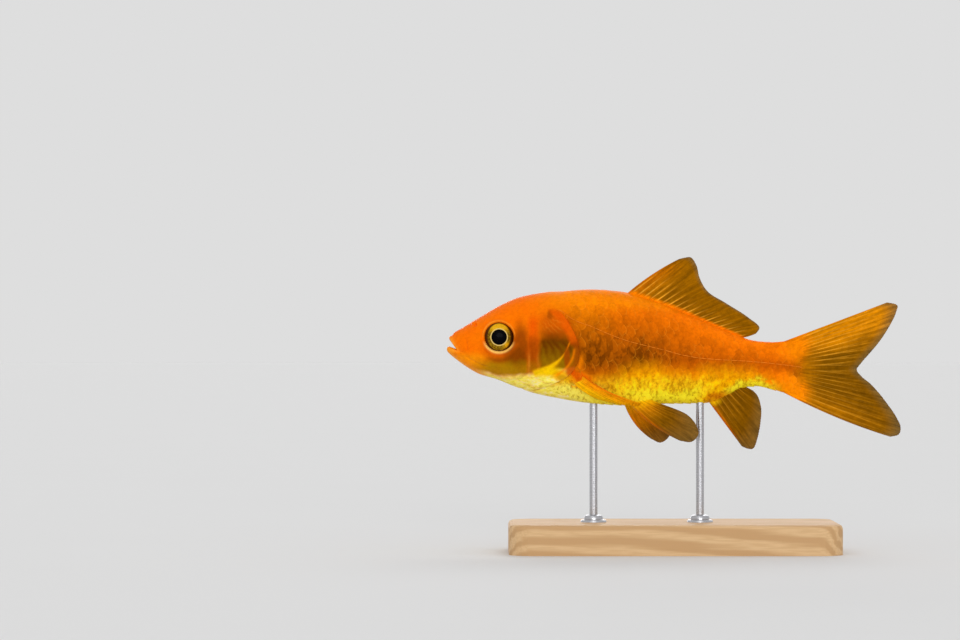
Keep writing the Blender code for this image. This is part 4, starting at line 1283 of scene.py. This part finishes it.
def make_paired_fins(settings, skin):
    """The pectoral fins, alike on both sides, and the two pelvic fins."""
    material = fin_material()
    pectoral = {"amber": lambda share, reach: 1.0 + 0 * share, "front": 0.8, "streak": 0.25,
                "streak_end": 1.0, "blend": 1.6, "base": 0.3, "smoke": 0.0, "web": "gold", "sun": 0.9,
                "rise": (0.05, 0.3), "sink": 0.7}
    left = {"amber": lambda share, reach: 0.95 * ease(0.55, 0.0, reach), "front": 0.35, "streak": 0.3,
            "streak_end": 0.8, "blend": 1.4, "base": 0.3, "smoke": 0.55, "margin": 0.5, "rise": (0.0, 0.25),
            "root": lambda share, span: 0.8 * ease(4.2, 0.6, span)}
    # The right pelvic fin is painted more amber, so lighter, to make up for the shade that the left fin casts
    # on it.
    right = dict(left, amber=lambda share, reach: 0.2 + 0.7 * ease(0.8, 0.3, reach))
    for side, sign in SIDES.items():
        make_fin(f"fin_pectoral_{side}", PECTORAL, 14, settings, skin, material, pectoral, wave=0.0,
                 on_right=sign > 0)
    make_fin("fin_pelvic_left", PELVIC_LEFT, 9, settings, skin, material, left, per_ray=14)
    make_fin("fin_pelvic_right", PELVIC_RIGHT, 9, settings, skin, material, right, per_ray=14)


def make_eyes(settings):
    """Both eyes: an oblate ball with a domed pupil and a faint step at the edge of the iris."""
    material = eye_material(settings)
    ring = 128
    rim_turns = np.sin(np.linspace(0, np.pi / 2, 14)[1:])
    radii = np.concatenate([np.linspace(0.0, settings.pupil, 24),
                            np.linspace(settings.pupil, settings.iris, 28)[1:],
                            settings.iris + (settings.radius - settings.iris) * rim_turns])
    depth = settings.half_depth * np.sqrt(np.maximum(1 - (radii / settings.radius) ** 2, 0))
    depth += 0.12 * ease(settings.pupil + 0.02, settings.pupil - 0.5, radii)
    depth -= 0.05 * bell(radii - settings.pupil - 0.06, 0.06)
    front = np.stack([radii[1:], depth[1:], radii[1:]], 1)
    back = np.stack([radii[::-6] * 0.98, -depth[::-6] * 0.9, radii[::-6] * 0 + settings.radius], 1)
    rows = np.concatenate([front, back])
    turn = np.linspace(0, 2 * np.pi, ring, endpoint=False)
    out, rise, from_centre = (np.repeat(column, ring) for column in rows.T)
    turns = np.tile(turn, len(rows))
    # The iris has painted light: its upper part is the brightest, and so is a spot below and behind the
    # pupil.
    lit = np.maximum(ease(0.35, 0.95, np.sin(turns)), bell(turns - 1.74 * np.pi, 0.28))
    # The painted shade of the groove is narrow above and below and wide before and behind.
    iris_edge = settings.iris + 0.32 * np.sin(turns) ** 2 - 0.08 * np.cos(turns) ** 2
    last = 1 + (len(rows) - 1) * ring
    faces = [[0, 1 + j, 1 + (j + 1) % ring] for j in range(ring)]
    faces += tube_faces(len(rows), ring, 1)
    faces.append([last + j for j in reversed(range(ring))])
    for side, sign in SIDES.items():
        low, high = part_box(f"eye_{side}")
        local = np.stack([out * np.cos(turns), sign * rise, out * np.sin(turns)], 1)
        local = np.concatenate([[[0.0, sign * depth[0], 0.0]], local])
        facing = faces if sign < 0 else [face[::-1] for face in faces]
        mesh = mesh_from(f"eye_{side}", np.array((low + high) / 2) + local * MM, facing)
        for key, centre, rest in (("from_pupil_centre", 0.0, from_centre), ("lit", 0.0, lit),
                                  ("iris_edge", settings.iris, iris_edge)):
            set_values(mesh, key, np.concatenate([[centre], rest]))
        add_piece(f"eye_{side}", mesh, material, (f"eye_{side}",))


# Outline of a collar, as (out from the rod, up from the base) in mm, and the points round it.
COLLAR = [(0.0, 1.3), (0.25, 1.5), (0.9, 1.3), (1.1, 0.9), (1.1, 0.55), (1.7, 0.4), (1.8, 0.0), (0.0, 0.0)]
COLLAR_RING = 64


def finish_stand(settings):
    """The base and rods are the solids themselves, in maple and brushed steel, with a collar at each rod."""
    frame["nodes"]["stand_base"].material_slots[0].material = wood_material(settings)
    steel = steel_material(settings)
    base_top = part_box("stand_base")[1].z
    for place in ("front", "rear"):
        rod = frame["nodes"][f"stand_rod_{place}"]
        rod.material_slots[0].material = steel
        low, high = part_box(f"stand_rod_{place}")
        middle, radius = (low + high) / 2, (high.x - low.x) / 2
        profile = [(radius + out * MM, base_top + up * MM) for out, up in COLLAR]
        points = turned(profile, COLLAR_RING, middle.x, middle.y)
        # The last ring joins the first, so the collar is a closed loop.
        faces = [[i % len(points) for i in face[1:] + face[:1]]
                 for face in tube_faces(len(profile) + 1, COLLAR_RING)]
        mesh = mesh_from(f"stand_collar_{place}", points, faces)
        collar = add_piece(f"stand_collar_{place}", mesh, steel)
        collar.data.set_sharp_from_angle(angle=math.radians(35))


# Radii of the floor's rings in m, and the points in each.
FLOOR_RADII = (0.02, 0.2, 0.6, 1.5, 4.0)
FLOOR_RING = 96
# How wide each lamp looks from the fish, which softens its shadow.
LAMP_ANGLE = math.radians(30)
# What the camera looks at: how far behind the snout and over the level of the mouth, in mm.
AIM = (6.6, 5.0)


def set_stage(settings):
    """Pale floor, soft even light, and the camera square to the fish's left."""
    scene = bpy.context.scene
    faces = tube_faces(len(FLOOR_RADII), FLOOR_RING) + [list(range(FLOOR_RING))]
    points = turned([(radius, 0.0) for radius in FLOOR_RADII], FLOOR_RING)
    floor = new_object("floor", mesh_from("floor", points, faces))
    n = Nodes("floor_paint")
    shade = n.mix(n.noise(0.02, 2.0), tuple(c * 0.99 for c in settings.floor), tuple(settings.floor))
    floor.data.materials.append(n.finish(Base_Color=shade, Roughness=0.9, Specular_IOR_Level=0.1))

    sky = bpy.data.worlds.new("studio")
    sky.use_nodes = True
    sky.node_tree.nodes["Background"].inputs["Color"].default_value = (*settings.sky, 1.0)
    scene.world = sky

    lights = [("key", settings.key, (-0.3, -1.0, 0.75)), ("fill", settings.fill, (0.25, 1.0, 0.9)),
              ("low_near", settings.low, (0.05, -1.0, 0.1)),
              ("low_far", 0.4 * settings.low, (-0.1, 1.0, 0.1))]
    for name, power, place in lights:
        lamp = bpy.data.lights.new(name, "SUN")
        lamp.energy, lamp.angle = power, LAMP_ANGLE
        made = new_object(name, lamp)
        made.location = place
        made.rotation_euler = (-Vector(place)).to_track_quat("-Z", "Y").to_euler()

    camera = new_object("camera", bpy.data.cameras.new("camera"))
    camera.data.lens, camera.data.sensor_width = settings.lens, 36.0
    camera.data.clip_start = 0.01
    camera.location = (Vector((SNOUT_X + AIM[0], 0.0, MOUTH_Z + AIM[1])) * MM
                       + Vector((0, -settings.distance, 0)))
    camera.rotation_euler = (math.pi / 2, 0.0, 0.0)
    scene.camera = camera
    scene.view_settings.view_transform = "Standard"


# Operators


class GOLDFISH_OT_skin(bpy.types.Operator):
    """Make the one skin of the head, trunk and tail stem"""
    bl_idname = "goldfish.skin"
    bl_label = "Skin"

    def execute(self, context):
        make_skin(context.scene.goldfish_skin)
        return {"FINISHED"}


class GOLDFISH_OT_scales(bpy.types.Operator):
    """Lay the scales over the trunk and tail stem"""
    bl_idname = "goldfish.scales"
    bl_label = "Scales"

    def execute(self, context):
        make_scales(context.scene.goldfish_scales, context.scene.goldfish_skin)
        return {"FINISHED"}


class GOLDFISH_OT_side_line(bpy.types.Operator):
    """Make the small tubes of the side line"""
    bl_idname = "goldfish.side_line"
    bl_label = "Side line"

    def execute(self, context):
        make_side_line(context.scene.goldfish_skin)
        return {"FINISHED"}


class GOLDFISH_OT_median_fins(bpy.types.Operator):
    """Make the dorsal, anal and tail fins"""
    bl_idname = "goldfish.median_fins"
    bl_label = "Dorsal, anal and tail fins"

    def execute(self, context):
        make_median_fins(context.scene.goldfish_fins, context.scene.goldfish_skin)
        return {"FINISHED"}


class GOLDFISH_OT_paired_fins(bpy.types.Operator):
    """Make the pectoral and pelvic fins"""
    bl_idname = "goldfish.paired_fins"
    bl_label = "Pectoral and pelvic fins"

    def execute(self, context):
        make_paired_fins(context.scene.goldfish_fins, context.scene.goldfish_skin)
        return {"FINISHED"}


class GOLDFISH_OT_eyes(bpy.types.Operator):
    """Make the two eyes"""
    bl_idname = "goldfish.eyes"
    bl_label = "Eyes"

    def execute(self, context):
        make_eyes(context.scene.goldfish_eyes)
        return {"FINISHED"}


class GOLDFISH_OT_stand(bpy.types.Operator):
    """Finish the display stand"""
    bl_idname = "goldfish.stand"
    bl_label = "Stand"

    def execute(self, context):
        finish_stand(context.scene.goldfish_stand)
        return {"FINISHED"}


class GOLDFISH_OT_stage(bpy.types.Operator):
    """Set up the floor, the lights and the camera"""
    bl_idname = "goldfish.stage"
    bl_label = "Stage"

    def execute(self, context):
        set_stage(context.scene.goldfish_stage)
        return {"FINISHED"}


GROUPS = {"goldfish_skin": GoldfishSkin, "goldfish_scales": GoldfishScales, "goldfish_fins": GoldfishFins,
          "goldfish_eyes": GoldfishEyes, "goldfish_stand": GoldfishStand, "goldfish_stage": GoldfishStage}
OPERATORS = [GOLDFISH_OT_skin, GOLDFISH_OT_scales, GOLDFISH_OT_side_line, GOLDFISH_OT_median_fins,
             GOLDFISH_OT_paired_fins, GOLDFISH_OT_eyes, GOLDFISH_OT_stand, GOLDFISH_OT_stage]


class GOLDFISH_PT_panel(bpy.types.Panel):
    """Settings and makers of the goldfish"""
    bl_label = "Goldfish"
    bl_idname = "GOLDFISH_PT_panel"
    bl_space_type = "VIEW_3D"
    bl_region_type = "UI"
    bl_category = "Goldfish"

    def draw(self, context):
        for operator in OPERATORS:
            self.layout.operator(operator.bl_idname)
        for name, group in GROUPS.items():
            box = self.layout.box()
            box.label(text=group.__doc__)
            for key in group.__annotations__:
                box.prop(getattr(context.scene, name), key)


def register():
    for group in (*GROUPS.values(), *OPERATORS, GOLDFISH_PT_panel):
        bpy.utils.register_class(group)
    for name, group in GROUPS.items():
        setattr(bpy.types.Scene, name, PointerProperty(type=group))


def unregister():
    for name in GROUPS:
        delattr(bpy.types.Scene, name)
    for group in (GOLDFISH_PT_panel, *reversed(OPERATORS), *GROUPS.values()):
        bpy.utils.unregister_class(group)


def main():
    register()
    for operator in OPERATORS:
        maker = operator.bl_idname.split(".")[1]
        getattr(bpy.ops.goldfish, maker)()


if __name__ == "__main__":
    main()
